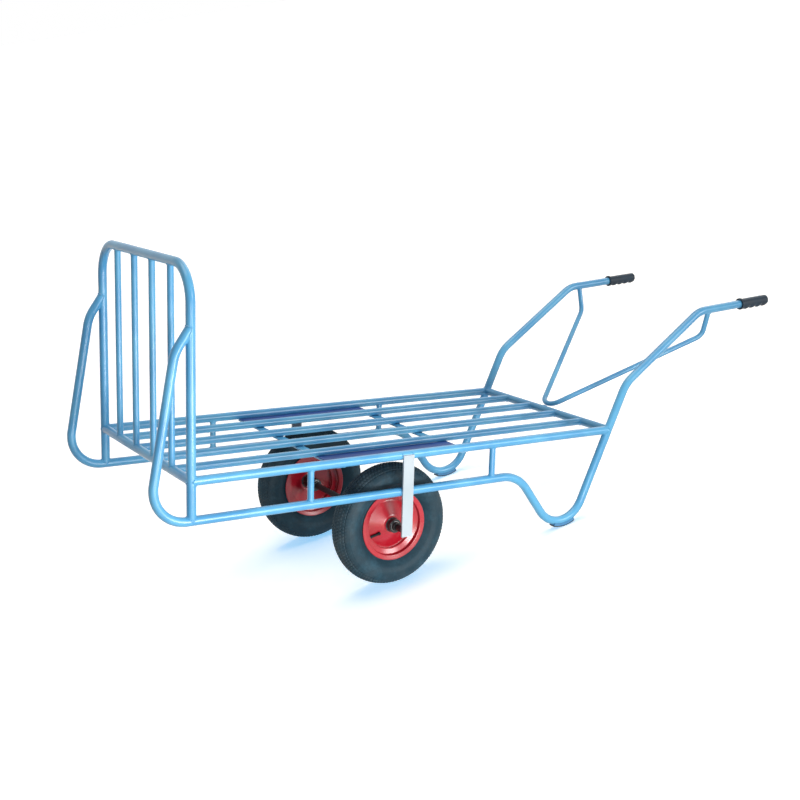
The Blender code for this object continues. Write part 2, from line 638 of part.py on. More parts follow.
def make_inner_tube(label, axis, rubber):
    """Inner tube: round under the tread, and down between the beads into the rim's well."""
    height = TYRE_DIAMETER / 2 - TREAD_WALL - CARCASS_RADIUS - TUBE_SLACK
    width = TYRE_WIDTH / 2 - TYRE_WALL - TUBE_SLACK
    low = (RIM_WELL_RADIUS + GAP) / math.cos(math.pi / INNER_TUBE_SEGMENTS)
    outline = arc_points(CARCASS_RADIUS, (height, width), -LINING_ARC, LINING_ARC, LINING_POINTS)
    neck = (BEAD_RADIUS + TUBE_SLACK, BEAD_PLACE - BEAD_SEAT - TUBE_SLACK)
    foot = (low, RIM_WELL_HALF_WIDTH - TUBE_SLACK)
    outline += [neck, foot, (foot[0], -foot[1]), (neck[0], -neck[1])]
    turned(f"{label}_inner_tube", outline, INNER_TUBE_SEGMENTS, axis, rubber)


def make_bearings(label, axis, steel):
    half = BEARING_WIDTH / 2
    outer = BEARING_DIAMETER / 2
    bore = (AXLE_DIAMETER / 2 + GAP) / math.cos(math.pi / HUB_SEGMENTS)
    race = bore + INNER_RACE_WALL
    face = [(bore, half), (race, half), (race, half - SHIELD_DEPTH), (outer, half - SHIELD_DEPTH)]
    outline = face + [(outer, -half), (bore, -half)]
    for place, way in (("outer", 1), ("inner", -1)):
        y = way * (HUB_LENGTH / 2 - half - RUNNING_GAP / 2)
        section = outline if way > 0 else [(r, -along) for r, along in outline]
        turned(f"{label}_{place}_bearing", section, HUB_SEGMENTS, axis, steel, (0, y, 0))


def make_valve(label, side, axis, dark):
    """Tyre valve: through the rim's well towards the hub, then leaning out to where a pump reaches it."""
    inward = Vector((-math.cos(VALVE_ANGLE), 0, -math.sin(VALVE_ANGLE)))
    outward = Vector((0, side, 0))
    across = inward.cross(outward)
    radius, stem = VALVE_DIAMETER / 2, VALVE_STEM_DIAMETER / 2
    place = -inward * RIM_WELL_RADIUS * math.cos(math.pi / WHEEL_SEGMENTS) + outward * VALVE_PLACE
    sections = [(0, radius, 0), (RIM_SHEET + VALVE_BASE, radius, 0), (VALVE_BASE, stem, 1 / 3)]
    sections += [(VALVE_BASE, stem, 2 / 3), (VALVE_LENGTH - 3 * VALVE_BASE - VALVE_CAP, stem, 1)]
    sections += [(0, radius, 1), (VALVE_CAP, radius, 1)]
    rings = []
    for advance, size, lean in sections:
        way = inward * math.cos(VALVE_LEAN * lean) + outward * math.sin(VALVE_LEAN * lean)
        other = way.cross(across)
        place = place + way * advance
        corners = [across * math.cos(a) + other * math.sin(a) for a in around(VALVE_SIDES)]
        rings.append([place + corner * size for corner in corners])
    solid(f"{label}_valve", skin(rings), (0, 0, 0), axis, dark)


def cut_valve_hole(rim, side):
    """Round hole through the rim's well, a little wider than the valve."""
    out = Vector((math.cos(VALVE_ANGLE), 0, math.sin(VALVE_ANGLE)))
    middle = out * (RIM_WELL_RADIUS - RIM_SHEET / 2) + Vector((0, side * VALVE_PLACE, 0))
    saddle(rim, middle, out, VALVE_DIAMETER, RIM_SHEET * 2)


def settle(deck):
    """Moves the tipped frame so that the model stands on Z = 0, centred on X = 0 and Y = 0."""
    bpy.context.view_layer.update()
    corners = []
    for obj in bpy.context.scene.objects:
        if obj.type == "MESH" and not obj.hide_render:
            points = np.empty(len(obj.data.vertices) * 3)
            obj.data.vertices.foreach_get("co", points)
            world = np.array(obj.matrix_world)
            corners.append(points.reshape(-1, 3) @ world[:3, :3].T + world[:3, 3])
    cloud = np.concatenate(corners)
    low, high = cloud.min(axis=0), cloud.max(axis=0)
    deck.location = (-(low[0] + high[0]) / 2, -(low[1] + high[1]) / 2, -low[2])


def main():
    clear_scene()
    finishes = {
        "paint": finish("blue_paint", (0.12, 0.36, 0.72), 0.35, 0.0),
        "guard": finish("dark_guard_paint", (0.03, 0.06, 0.11), 0.5, 0.0),
        "rim": finish("red_paint", (0.62, 0.03, 0.05), 0.35, 0.0),
        "tyre": finish("tyre_rubber", (0.03, 0.035, 0.04), 0.8, 0.0),
        "rubber": finish("grip_rubber", (0.015, 0.02, 0.025), 0.6, 0.0),
        "dark": finish("black_fittings", (0.02, 0.02, 0.022), 0.5, 0.0),
        "steel": finish("bright_steel", (0.55, 0.55, 0.56), 0.3, 1.0),
    }
    deck = empty("deck_frame", (0, 0, 0), turn=TILT)
    paint = finishes["paint"]
    make_headboard(deck, paint)
    make_deck(deck, paint)
    make_ties_and_guards(deck, paint, finishes["guard"])
    make_brace(deck, paint)
    make_axle(deck, finishes["dark"])
    for label, side in SIDES:
        make_side_tube(label, side, deck, paint)
        make_side_rail(label, side, deck, paint)
        make_struts(label, side, deck, paint)
        make_hanger(label, side, deck, paint)
        make_shoe(label, side, deck, finishes["dark"])
        make_grip(label, side, deck, finishes["rubber"])
        make_wheel(label, side, deck, finishes)
    settle(deck)


main()
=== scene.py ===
"""Looks of the two-wheeled market barrow: painted tubes with their welds, tyres, wheels, grips and studio.

Shapes are laid out in the deck's own frame, as the solids are: X from the headboard to the handles, Y across,
Z up from the plane of the deck tubes. Placement turns them into the frame's world, where the barrow stands
parked. All sizes are in metres.
"""

import json
import math

import bpy
import numpy as np
from mathutils import Matrix, Vector


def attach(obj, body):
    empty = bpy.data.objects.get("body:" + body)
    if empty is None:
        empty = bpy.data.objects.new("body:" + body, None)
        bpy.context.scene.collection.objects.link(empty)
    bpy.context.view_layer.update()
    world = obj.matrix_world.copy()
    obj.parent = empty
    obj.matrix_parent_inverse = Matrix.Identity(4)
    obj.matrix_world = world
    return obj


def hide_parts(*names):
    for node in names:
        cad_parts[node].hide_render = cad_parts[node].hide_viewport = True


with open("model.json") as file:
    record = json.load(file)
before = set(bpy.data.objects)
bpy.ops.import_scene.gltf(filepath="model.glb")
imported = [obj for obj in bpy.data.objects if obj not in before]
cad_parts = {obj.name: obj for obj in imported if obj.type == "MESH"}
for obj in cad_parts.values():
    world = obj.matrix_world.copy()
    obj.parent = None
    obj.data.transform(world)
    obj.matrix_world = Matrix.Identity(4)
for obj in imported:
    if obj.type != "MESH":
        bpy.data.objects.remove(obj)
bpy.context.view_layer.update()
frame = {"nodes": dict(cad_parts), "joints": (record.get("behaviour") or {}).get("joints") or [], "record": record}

# Deck, headboard and tubes, between centre lines
DECK_LENGTH = 1.530
DECK_WIDTH = 0.720
HEADBOARD_HEIGHT = 0.611
HEADBOARD_CORNER_RADIUS = 0.105
LOWER_RAIL_DROP = 0.117
BAR_COUNT = 4
FRAME_TUBE = 0.028
DECK_BAR_TUBE = 0.025
HEAD_BAR_TUBE = 0.020
STRUT_TUBE = 0.020
BRACE_TUBE = 0.018

# Side tubes: front guard, foot and handle
FRONT_BEND_HEIGHT = 0.370
FRONT_BEND_REACH = 0.048
FRONT_BEND_RADIUS = 0.120
FRONT_JOIN_HEIGHT = 0.441
NOSE_REACH = 0.132
NOSE_RADIUS = 0.100
HUMP_X = 1.1525
HUMP_RADIUS = 0.125
DROP_ANGLE = math.radians(53.5)
FOOT_RADIUS = 0.100
LEG_ANGLE = math.radians(66.5)
LOWER_BEND_HEIGHT = 0.157
LOWER_BEND_RADIUS = 0.120
DIAGONAL_ANGLE = math.radians(36.1)
UPPER_BEND_HEIGHT = 0.390
UPPER_BEND_RADIUS = 0.100
GRIP_RUN_ANGLE = math.radians(5.0)
HANDLE_REACH = 0.3182

# Brace, struts, hangers and ties
BRACE_FOOT_RADIUS = 0.050
BRACE_SEAT_ANGLE = math.radians(50)
BRACE_BEHIND_BEND = 0.0452
BRACE_DROP = 0.096
BRACE_SPLAY = 0.025
BRACE_BEND_RADIUS = 0.045
FRONT_STRUT_X = 0.382
REAR_STRUT_X = 1.046
HANGER_WIDTH = 0.038
TIE_OFFSET = 0.225
TIE_WIDTH = 0.030

# Grips and foot shoes
GRIP_LENGTH = 0.130
GRIP_WALL = 0.003
GRIP_COLLAR_RISE = 0.0035
GRIP_COLLAR_WIDTH = 0.007
GRIP_END_WALL = 0.004
GRIP_RIBS = 28
GRIP_RIB_RISE = 0.0003
FINGER_START = 0.014
FINGER_COUNT = 4
FINGER_DEPTH = 0.0045
SHOE_WRAP = math.radians(60)
SHOE_SHOULDER = 0.0008
SHOE_SLANT = 0.0004
SHOE_THICKNESS = 0.006
SOLE_EASE = 0.0012
SHOE_BEFORE = math.radians(25.2)
SHOE_BEHIND = math.radians(18)
# Heights over a shoe's sole at which its wear ends and at which it is full
SOLE_WEAR_ENDS = 0.0035
SOLE_WEAR_FULL = 0.0020

# Axle and wheels
AXLE_X = 0.714
AXLE_DROP = 0.245
AXLE_DIAMETER = 0.020
WHEEL_CENTRE = 0.2685
TYRE_WIDTH = 0.100
TYRE_WALL = 0.007
TREAD_WALL = 0.010
CARCASS_RADIUS = 0.15475
SIDEWALL_ARC = math.radians(118)
LINING_ARC = 2.09
BEAD_RADIUS = 0.1015
BEAD_SEAT = 0.011
BEAD_EASE = 0.001
RIM_FLANGE_RADIUS = 0.1145
RIM_HALF_WIDTH = 0.032
RIM_WELL_RADIUS = 0.0835
RIM_WELL_HALF_WIDTH = 0.012
RIM_WELL_SLOPE = 0.006
RIM_SHEET = 0.0025
RIM_LIP = 0.003
RIM_CURL = 0.001
DISC_SHEET = 0.003
DISC_BOSS_WIDTH = 0.008
DISC_EDGE_WIDTH = 0.005
DISC_DISH = 0.0215
HUB_RADIUS = 0.022
HUB_LENGTH = 0.088
HUB_LEDGE = 0.003
BEARING_DIAMETER = 0.032
BEARING_WIDTH = 0.012
INNER_RACE_WALL = 0.0022
OUTER_RACE_WALL = 0.0015
SHIELD_DEPTH = 0.001
SHIELD_SLOPE = 0.0003
COLLAR_DIAMETER = 0.030
COLLAR_WIDTH = 0.012
VALVE_ANGLE = math.radians(197)
VALVE_PLACE = 0.007
VALVE_LEAN = math.radians(30)
CAP_RIBS = 12
CAP_RIB_RISE = 0.0004
SCREW_RADIUS = 0.0032
SCREW_SINK = 0.0004

# Gaps between fixed and between running parts
GAP = 0.0003
RUNNING_GAP = 0.0005

# Weld beads: their radii, the length and the share of a ripple, and half the angle of a short one
ARC_WELD_RADIUS = 0.0028
RING_WELD_RADIUS = 0.00224
WELD_RIPPLE = 0.0022
RIPPLE_SHARE = 0.14
HANGER_WELD_ARC = math.radians(42)
TIE_WELD_ARC = math.radians(36)
BRACE_WELD_SHARE = 0.36
# Radius of the other part at which a weld ring lies flat
FLAT_RING = 0.0001
# Beads round the wheel's disc and hub: radius and number of ripples
DISC_WELD = (0.0018, 150)
HUB_WELD = (0.0024, 44)

# How far the corners of turned and pressed parts are eased
RIM_EASE = 0.0022
DISC_EASE = 0.0030
TURNED_EASE = 0.0012
RACE_EASE = 0.0003

# Tread blocks, and the rings moulded on a tyre's walls
TREAD_DEPTH = 0.0022
TREAD_PITCH = 0.0115
TREAD_REACH = 0.052
TREAD_FADE = 0.012
# Where a block ends and how wide its side is, in shares of the pitch
GROOVE_SHARE = 0.08
GROOVE_SIDE = 0.10
WALL_RINGS = (0.060, 0.076, 0.080)
WALL_RING_RISE = 0.0006
WALL_RING_WIDTH = 0.0011

# How sharply a skin bends, per metre, where wear of an edge begins and where it is full
EDGE_BEGINS = 220
EDGE_FULL = 820
# Height over the floor at which the dust of the frame runs out
DUST_HEIGHT = 0.5

# Fineness of the surfaces
TUBE_SIDES = 36
BEND_STEP = math.radians(2.5)
WHEEL_STEPS = 144
TREAD_STEPS = 660
TREAD_COLUMNS = 110
WELD_STEPS = 72
WELD_SIDES = 8
SHARP_ANGLE = math.radians(35)

FRAME_RADIUS = FRAME_TUBE / 2
HALF_WIDTH = DECK_WIDTH / 2
BAR_PITCH = DECK_WIDTH / (BAR_COUNT + 1)
BAR_PLACES = [-HALF_WIDTH + BAR_PITCH * (k + 1) for k in range(BAR_COUNT)]
SIDES = (("left", -1), ("right", 1))
X, Y, Z = np.eye(3)


def unit(vectors):
    """Vectors scaled to a length of one; a vector of no length stays as it is."""
    return vectors / np.maximum(np.linalg.norm(vectors, axis=-1, keepdims=True), 1e-12)


def full_turn(steps):
    """Angles of a whole turn in equal steps, without the last one, which is the first again."""
    return np.linspace(0, 2 * math.pi, steps, endpoint=False)


# Layout of the bends, and where the deck's frame lies in the world


def side_view(angle):
    """Direction seen from the side, at an angle up from the deck towards the handles."""
    return np.array([math.cos(angle), 0, math.sin(angle)])


def half_turn(back, ahead):
    """Half the angle that a path turns by at a corner, from the directions back and ahead along it."""
    return (math.pi - math.acos(back @ ahead)) / 2


def foot_layout():
    """Corner of the foot, where the drop line meets the leg line, and the centre of its bend."""
    drop, leg = math.tan(DROP_ANGLE), math.tan(LEG_ANGLE)
    corner_x = (leg * DECK_LENGTH + drop * HUMP_X - LOWER_RAIL_DROP) / (leg + drop)
    corner = np.array([corner_x, 0, leg * (corner_x - DECK_LENGTH)])
    to_drop = side_view(DROP_ANGLE) * [-1, 1, 1]
    inward = unit(to_drop + LEG_DIRECTION)
    return corner, corner + inward * FOOT_RADIUS / math.cos(half_turn(to_drop, LEG_DIRECTION))


def handle_layout():
    """Corners of the handle: the lower bend, the upper bend and the end of the tube."""
    lower = np.array([DECK_LENGTH + LOWER_BEND_HEIGHT / math.tan(LEG_ANGLE), 0, LOWER_BEND_HEIGHT])
    rise = UPPER_BEND_HEIGHT - LOWER_BEND_HEIGHT
    upper = lower + np.array([rise / math.tan(DIAGONAL_ANGLE), 0, rise])
    return lower, upper, upper + np.array([HANDLE_REACH, 0, HANDLE_REACH * math.tan(GRIP_RUN_ANGLE)])


LEG_DIRECTION = side_view(LEG_ANGLE)
FOOT_CORNER, FOOT_CENTRE = foot_layout()
LOWER_BEND, UPPER_BEND, HANDLE_END = handle_layout()
HANDLE_DIRECTION = unit(HANDLE_END - UPPER_BEND)
AXLE = np.array([AXLE_X, 0, -AXLE_DROP])
SOLE_RADIUS = FOOT_RADIUS + FRAME_RADIUS + GAP + SHOE_THICKNESS


def middle_between(rows, name):
    """Middle between the left one and the right one of the frame's rows of a name."""
    places = {row["name"]: np.array(row["pos_m"]) for row in rows}
    return (places[f"left_{name}"] + places[f"right_{name}"]) / 2


def placement():
    """Tilt of the deck's frame, its turning matrix and the axle's place in the world.

    The line from the axle to the centre of the foot bend is known in both frames: in the world from the wheel
    joints and from the foot's sole, which lies straight below that centre.
    """
    axle = middle_between(frame["joints"], "wheel_spin")
    sole = middle_between(frame["record"]["mounts"], "foot_sole")
    seen = sole + Z * SOLE_RADIUS - axle
    reach = FOOT_CENTRE - AXLE
    tilt = math.atan2(reach[2], reach[0]) - math.atan2(seen[2], seen[0])
    return tilt, np.array(Matrix.Rotation(tilt, 3, "Y")), axle


TILT, TURN, AXLE_PLACE = placement()
TYRE_RADIUS = AXLE_PLACE[2]


def to_world(points):
    """Points of the deck's frame, turned about the axle and set on the world's axle."""
    return (points - AXLE) @ TURN.T + AXLE_PLACE


def at_side(point, side):
    """A point of the side view, on one side of the deck."""
    return np.array([point[0], side * HALF_WIDTH, point[2]])


def brace_layout():
    """Corners of the handle brace: under one handle, down to its seat on the rear crossbar, and up again."""
    foot = X * DECK_LENGTH + side_view(BRACE_SEAT_ANGLE) * (FRAME_RADIUS + BRACE_TUBE / 2 + GAP)
    top = UPPER_BEND + HANDLE_DIRECTION * BRACE_BEHIND_BEND / HANDLE_DIRECTION[0]
    tops = [at_side(top, side) for _, side in SIDES]
    bends = [end - side * BRACE_SPLAY * Y - BRACE_DROP * Z for (_, side), end in zip(SIDES, tops)]
    to_bends = unit(np.array(bends) - foot)
    past = BRACE_FOOT_RADIUS * (1 / math.cos(half_turn(*to_bends)) - 1)
    return [tops[0], bends[0], foot - unit(to_bends.sum(0)) * past, bends[1], tops[1]]


BRACE_CORNERS = brace_layout()


# Surfaces: a shell is (points, quads, caps, edges), closed and with its faces pointing outwards


def shell(grid, ring=False):
    """Closed skin through a grid of points: row i is a closed loop, and rows follow one another.

    With ring the last row joins the first; otherwise each end row is capped by one polygon. The faces are
    turned outwards by the sign of the volume that they enclose.
    """
    rows, columns = grid.shape[:2]
    index = np.arange(rows * columns).reshape(rows, columns)
    this, after = (index, np.roll(index, -1, 0)) if ring else (index[:-1], index[1:])
    quads = np.stack([this, np.roll(this, -1, 1), np.roll(after, -1, 1), after], -1).reshape(-1, 4)
    caps = [] if ring else [index[0][::-1], index[-1]]
    points = grid.reshape(-1, 3)
    faces = [quads[:, [0, 1, 2]], quads[:, [0, 2, 3]]]
    faces += [np.stack([np.full(columns - 2, cap[0]), cap[1:-1], cap[2:]], -1) for cap in caps]
    corners = (points - points.mean(0))[np.concatenate(faces)]
    outwards = 1 if np.linalg.det(corners).sum() > 0 else -1
    edges = outward_bend(grid, ring, outwards).ravel()
    return points, quads[:, ::outwards], [cap[::outwards] for cap in caps], edges


def outward_bend(grid, ring, outwards):
    """How sharply the skin bends at each point of a grid: 0 on a tube, 1 on a small rounded edge.

    Along each direction of the grid it is the change of the unit step over the length of a step, taken
    against the outward normal, which is the cross product of the steps in the two directions.
    """
    steps, bends = [], []
    for axis, closed in ((1, True), (0, ring)):
        ahead = np.roll(grid, -1, axis) - grid
        if not closed:
            ahead[-1] = ahead[-2]
        behind = np.roll(ahead, 1, axis)
        if not closed:
            behind[0] = ahead[0]
        length = np.linalg.norm(ahead, axis=-1) + np.linalg.norm(behind, axis=-1)
        bends.append((unit(behind) - unit(ahead)) * 2 / np.maximum(length, 1e-6)[..., None])
        steps.append(ahead + behind)
    normal = unit(np.cross(*steps)) * outwards
    sharpest = np.maximum(*[(bend * normal).sum(-1) for bend in bends])
    return np.clip((sharpest - EDGE_BEGINS) / (EDGE_FULL - EDGE_BEGINS), 0, 1)


def new_object(name, data):
    """A new object of the scene, unturned and at the origin."""
    obj = bpy.data.objects.new(name, data)
    bpy.context.scene.collection.objects.link(obj)
    return obj


def piece(name, shells, finish, body="frame", node_name=None):
    """One object from one or more shells, riding on a body and standing for the solid that it replaces."""
    material, slot = finish
    offsets = np.cumsum([0] + [len(points) for points, *_ in shells])
    loops, sizes = [], []
    for (_, quads, caps, _), offset in zip(shells, offsets):
        loops += [quads.ravel() + offset] + [cap + offset for cap in caps]
        sizes += [np.full(len(quads), 4)] + [np.array([len(cap)]) for cap in caps]
    loops, sizes = np.concatenate(loops), np.concatenate(sizes)
    mesh = bpy.data.meshes.new(name)
    mesh.vertices.add(offsets[-1])
    mesh.vertices.foreach_set("co", np.concatenate([points for points, *_ in shells]).ravel())
    mesh.loops.add(len(loops))
    mesh.loops.foreach_set("vertex_index", loops.astype(np.int32))
    mesh.polygons.add(len(sizes))
    mesh.polygons.foreach_set("loop_start", (np.cumsum(sizes) - sizes).astype(np.int32))
    edge = mesh.attributes.new("edge", "FLOAT", "POINT")
    edge.data.foreach_set("value", np.concatenate([edges for *_, edges in shells]).astype(np.float32))
    mesh.update(calc_edges=True)
    mesh.shade_smooth()
    mesh.set_sharp_from_angle(angle=SHARP_ANGLE)
    mesh.materials.append(material)
    obj = new_object(name, mesh)
    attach(obj, body)
    if node_name:
        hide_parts(node_name)


def bent_path(corners, radii):
    """Centre line through corners, each rounded by an arc: the arc's points are centre + the first radius
    turned by equal steps in the plane of the two runs that meet there."""
    path = [corners[:1]]
    for before, corner, after, radius in zip(corners, corners[1:], corners[2:], radii):
        back, ahead = unit(before - corner), unit(after - corner)
        half = half_turn(back, ahead)
        inward = unit(back + ahead)
        along = unit(ahead - back)
        centre = corner + inward * radius / math.cos(half)
        angles = np.linspace(-half, half, max(3, round(2 * half / BEND_STEP)))[:, None]
        path.append(centre - inward * radius * np.cos(angles) + along * radius * np.sin(angles))
    return np.concatenate(path + [corners[-1:]])


def sweep(path, outward, radius, sides, closed=False):
    """Round section carried along a path: path + radius * (cos a * side + sin a * other), where side is the
    outward vector made square to the path. radius may change along the path, or along it and round it."""
    if closed:
        tangent = unit(np.roll(path, -1, 0) - np.roll(path, 1, 0))
    else:
        tangent = unit(np.gradient(path, axis=0))
    outward = np.broadcast_to(outward, path.shape)
    side = unit(outward - (outward * tangent).sum(-1, keepdims=True) * tangent)
    other = np.cross(tangent, side)
    angle = full_turn(sides)[:, None]
    ring = side[:, None] * np.cos(angle) + other[:, None] * np.sin(angle)
    radius = np.asarray(radius, float)
    radius = np.broadcast_to(radius if radius.ndim == 2 else radius.reshape(-1, 1), (len(path), sides))
    return path[:, None] + ring * radius[..., None]


def turned(radius, place, angle):
    """Points at a radius from the line along Y and at a place along it, at an angle round it."""
    return np.stack(np.broadcast_arrays(radius * np.cos(angle), place, radius * np.sin(angle)), -1)


def lathe(outline, centre, steps=WHEEL_STEPS):
    """Closed outline of (radius, place along Y) turned round the line through centre along the world's Y."""
    radius, place = np.asarray(outline).T
    return shell(turned(radius, place, full_turn(steps)[:, None]) + centre, ring=True)


def mirrored(outline):
    """The same (radius, place) points on the other side, in the reverse order."""
    return [(radius, -place) for radius, place in reversed(outline)]


def eased(corners, reach, steps=5):
    """Closed outline with each corner c replaced by the curve (1-t)^2 a + 2t(1-t) c + t^2 b, where a and b
    lie reach away from c on its two edges, and at most 0.4 of an edge. One more point lies a little further
    along each edge, so that the flats between the curves stay flat to the eye."""
    corners = np.asarray(corners, float)
    ends = []
    for other in (np.roll(corners, 1, 0), np.roll(corners, -1, 0)):
        edge = other - corners
        length = np.linalg.norm(edge, axis=1, keepdims=True)
        share = np.minimum(reach / length, 0.4)
        ends.append([corners + edge * share * more for more in (1, 1.2)])
    (first, before), (last, after) = ends
    t = np.linspace(0, 1, steps)[:, None]
    curve = (1 - t) ** 2 * first[:, None] + 2 * t * (1 - t) * corners[:, None] + t**2 * last[:, None]
    return np.concatenate([before[:, None], curve, after[:, None]], 1).reshape(-1, 2)


def solid_box(node_name):
    """Lowest and highest corner of a CAD solid, in the deck's frame."""
    mesh = frame["nodes"][node_name].data
    points = np.empty(len(mesh.vertices) * 3)
    mesh.vertices.foreach_get("co", points)
    points = (points.reshape(-1, 3) - AXLE_PLACE) @ TURN + AXLE
    return points.min(0), points.max(0)


def flat_bar(node_name, ease, corner, finish):
    """Flat bar or plate in place of a solid: a rectangle with rounded corners, carried up through its height
    and drawn in by ease * (1 - sin t) where it is ease * (1 - cos t) from either end."""
    low, high = solid_box(node_name)
    half = (high - low) / 2
    flat = 1.4 * ease
    t = np.linspace(0, math.pi / 2, 6)
    inset = np.concatenate([[flat], ease * (1 - np.sin(t)), [0]])
    rise = np.concatenate([[0], ease * (1 - np.cos(t)), [flat]]) - half[2]
    rows = []
    for drawn_in, z in zip(np.append(inset, inset[::-1]), np.append(rise, -rise[::-1])):
        x, y = half[:2] - drawn_in
        section = eased([(-x, -y), (x, -y), (x, y), (-x, y)], max(corner - drawn_in, ease / 3))
        rows.append(np.column_stack([section, np.full(len(section), z)]))
    skin = shell(to_world(np.stack(rows) + (low + high) / 2))
    piece(f"{node_name}_flat", [skin], finish, node_name=node_name)


# Shader node helpers and the groups that several finishes share


def node(tree, kind, inputs=None, **settings):
    """A shader node with its settings; inputs maps a socket's name or number to a value or to an output."""
    made = tree.nodes.new(kind)
    for key, value in settings.items():
        setattr(made, key, value)
    for key, value in (inputs or {}).items():
        if isinstance(value, bpy.types.NodeSocket):
            tree.links.new(value, made.inputs[key])
        else:
            made.inputs[key].default_value = value
    return made


def colour(rgb):
    """A colour given in 0 to 255 as the eye sees it, in the linear values that the shader takes."""
    shares = np.array(rgb) / 255
    linear = np.where(shares <= 0.04045, shares / 12.92, ((shares + 0.055) / 1.055) ** 2.4)
    return (*linear, 1.0)


def group(name, inputs, outputs, build):
    """A node group: place is a vector and the other sockets are numbers. build gets the inputs and gives the
    value of each output."""
    tree = bpy.data.node_groups.new(name, "ShaderNodeTree")
    for label in inputs:
        kind = "NodeSocketVector" if label == "place" else "NodeSocketFloat"
        tree.interface.new_socket(name=label, in_out="INPUT", socket_type=kind)
    for label in outputs:
        tree.interface.new_socket(name=label, in_out="OUTPUT", socket_type="NodeSocketFloat")
    given = tree.nodes.new("NodeGroupInput").outputs
    made = tree.nodes.new("NodeGroupOutput").inputs
    for value, socket in zip(build(tree, *given[:len(inputs)]), made):
        tree.links.new(value, socket)
    return tree


def blend_colours(tree, share, first, second):
    """(1 - share) * first + share * second."""
    return node(tree, "ShaderNodeMix", {0: share, 6: first, 7: second}, data_type="RGBA").outputs[2]


def math_node(tree, operation, *values, clamp=False):
    """One operation on numbers; clamp keeps its result from 0 to 1."""
    inputs = dict(enumerate(values))
    return node(tree, "ShaderNodeMath", inputs, operation=operation, use_clamp=clamp).outputs[0]


def times(tree, *values):
    """The product of all the values."""
    product, *others = values
    for value in others:
        product = math_node(tree, "MULTIPLY", product, value)
    return product


def add_shares(tree, start, *terms):
    """start plus each value times its share, kept from 0 to 1."""
    for value, share in terms:
        start = math_node(tree, "ADD", start, times(tree, value, share), clamp=True)
    return start


def noise(tree, place, scale, detail=3.0, roughness=0.55, stretch=None):
    """Noise on a piece's own coordinates; stretch scales the axes, for marks that run one way."""
    if stretch is not None:
        place = node(tree, "ShaderNodeMapping", {"Vector": place, "Scale": stretch}).outputs[0]
    inputs = {"Vector": place, "Scale": scale, "Detail": detail, "Roughness": roughness}
    return node(tree, "ShaderNodeTexNoise", inputs).outputs["Fac"]


def steps_between(tree, value, low, high):
    """0 below low, 1 above high and smooth between them."""
    inputs = {"Value": value, "From Min": low, "From Max": high}
    return node(tree, "ShaderNodeMapRange", inputs, interpolation_type="SMOOTHSTEP").outputs[0]


def paint_skin(tree, place):
    """Sprayed paint: a slow drift of its tone, the fine peel of its surface and its uneven gloss."""
    return [noise(tree, place, scale, detail) for scale, detail in ((7.0, 2.0), (420.0, 2.0), (38.0, 4.0))]


def wear_marks(tree, place, edge, chip_level):
    """Wear of a painted skin: chips where a noise stands above a level, scratches along the lines where a
    stretched noise crosses its middle, and rubbing where the edge value and a noise add up to enough."""
    level = add_shares(tree, chip_level, (noise(tree, place, 5.0, 2.0), -0.12), (edge, -0.09))
    spots = noise(tree, place, 60.0, 6.0, 0.62)
    chips = steps_between(tree, spots, level, math_node(tree, "ADD", level, 0.02))
    lines = noise(tree, place, 30.0, 5.0, 0.7, (0.12, 1.6, 1.6))
    off = math_node(tree, "ABSOLUTE", math_node(tree, "SUBTRACT", lines, 0.5))
    thin = math_node(tree, "SUBTRACT", 1.0, steps_between(tree, off, 0.0, 0.006), clamp=True)
    patch = steps_between(tree, noise(tree, place, 9.0, 2.0), 0.52, 0.66)
    rubbed = math_node(tree, "ADD", edge, noise(tree, place, 34.0, 4.0, 0.65))
    return chips, times(tree, thin, patch, 0.5), steps_between(tree, rubbed, 1.0, 1.5)


def dust_film(tree, place, amount):
    """Dust that thickens towards the floor and on faces that look up, broken up by noise."""
    height = node(tree, "ShaderNodeSeparateXYZ", {0: place}).outputs["Z"]
    risen = math_node(tree, "DIVIDE", height, DUST_HEIGHT)
    low = math_node(tree, "SUBTRACT", 1.0, risen, clamp=True)
    facing = node(tree, "ShaderNodeNewGeometry").outputs["Normal"]
    up = node(tree, "ShaderNodeSeparateXYZ", {0: facing}).outputs["Z"]
    lying = times(tree, steps_between(tree, up, 0.2, 1.0), 0.5)
    cover = math_node(tree, "ADD", times(tree, low, low), lying)
    patchy = steps_between(tree, noise(tree, place, 24.0, 5.0, 0.65), 0.35, 0.75)
    return [times(tree, cover, patchy, amount)]


def turning_dust(tree, place, amount, clean, dusty):
    """Dust of a wheel, the same at every turn of it: it lies between two distances from the axle's line,
    thickest at the outer one, and noise breaks it up. The rings are a fine noise of that distance."""
    reach = distance_from(tree, place, AXLE_PLACE)
    spread = steps_between(tree, reach, clean, dusty)
    patchy = steps_between(tree, noise(tree, place, 20.0, 6.0, 0.7), 0.3, 0.8)
    along = node(tree, "ShaderNodeCombineXYZ", {0: reach}).outputs[0]
    return times(tree, spread, patchy, amount), noise(tree, along, 900.0, 3.0)


def distance_from(tree, place, centre):
    """Distance of a point from the line through a centre that runs across the barrow."""
    away = node(tree, "ShaderNodeVectorMath", {0: place, 1: tuple(centre)}, operation="SUBTRACT").outputs[0]
    flat = node(tree, "ShaderNodeVectorMath", {0: away, 1: (1, 0, 1)}, operation="MULTIPLY").outputs[0]
    return node(tree, "ShaderNodeVectorMath", {0: flat}, operation="LENGTH").outputs["Value"]


PAINT_SKIN = group("paint_skin", ["place"], ["tone", "peel", "gloss"], paint_skin)
WEAR_MARKS = group("wear_marks", ["place", "edge", "chip_level"], ["chips", "scratches", "rub"], wear_marks)
DUST_FILM = group("dust_film", ["place", "amount"], ["dust"], dust_film)
TURNING_DUST = group("turning_dust", ["place", "amount", "clean", "dusty"], ["dust", "rings"], turning_dust)


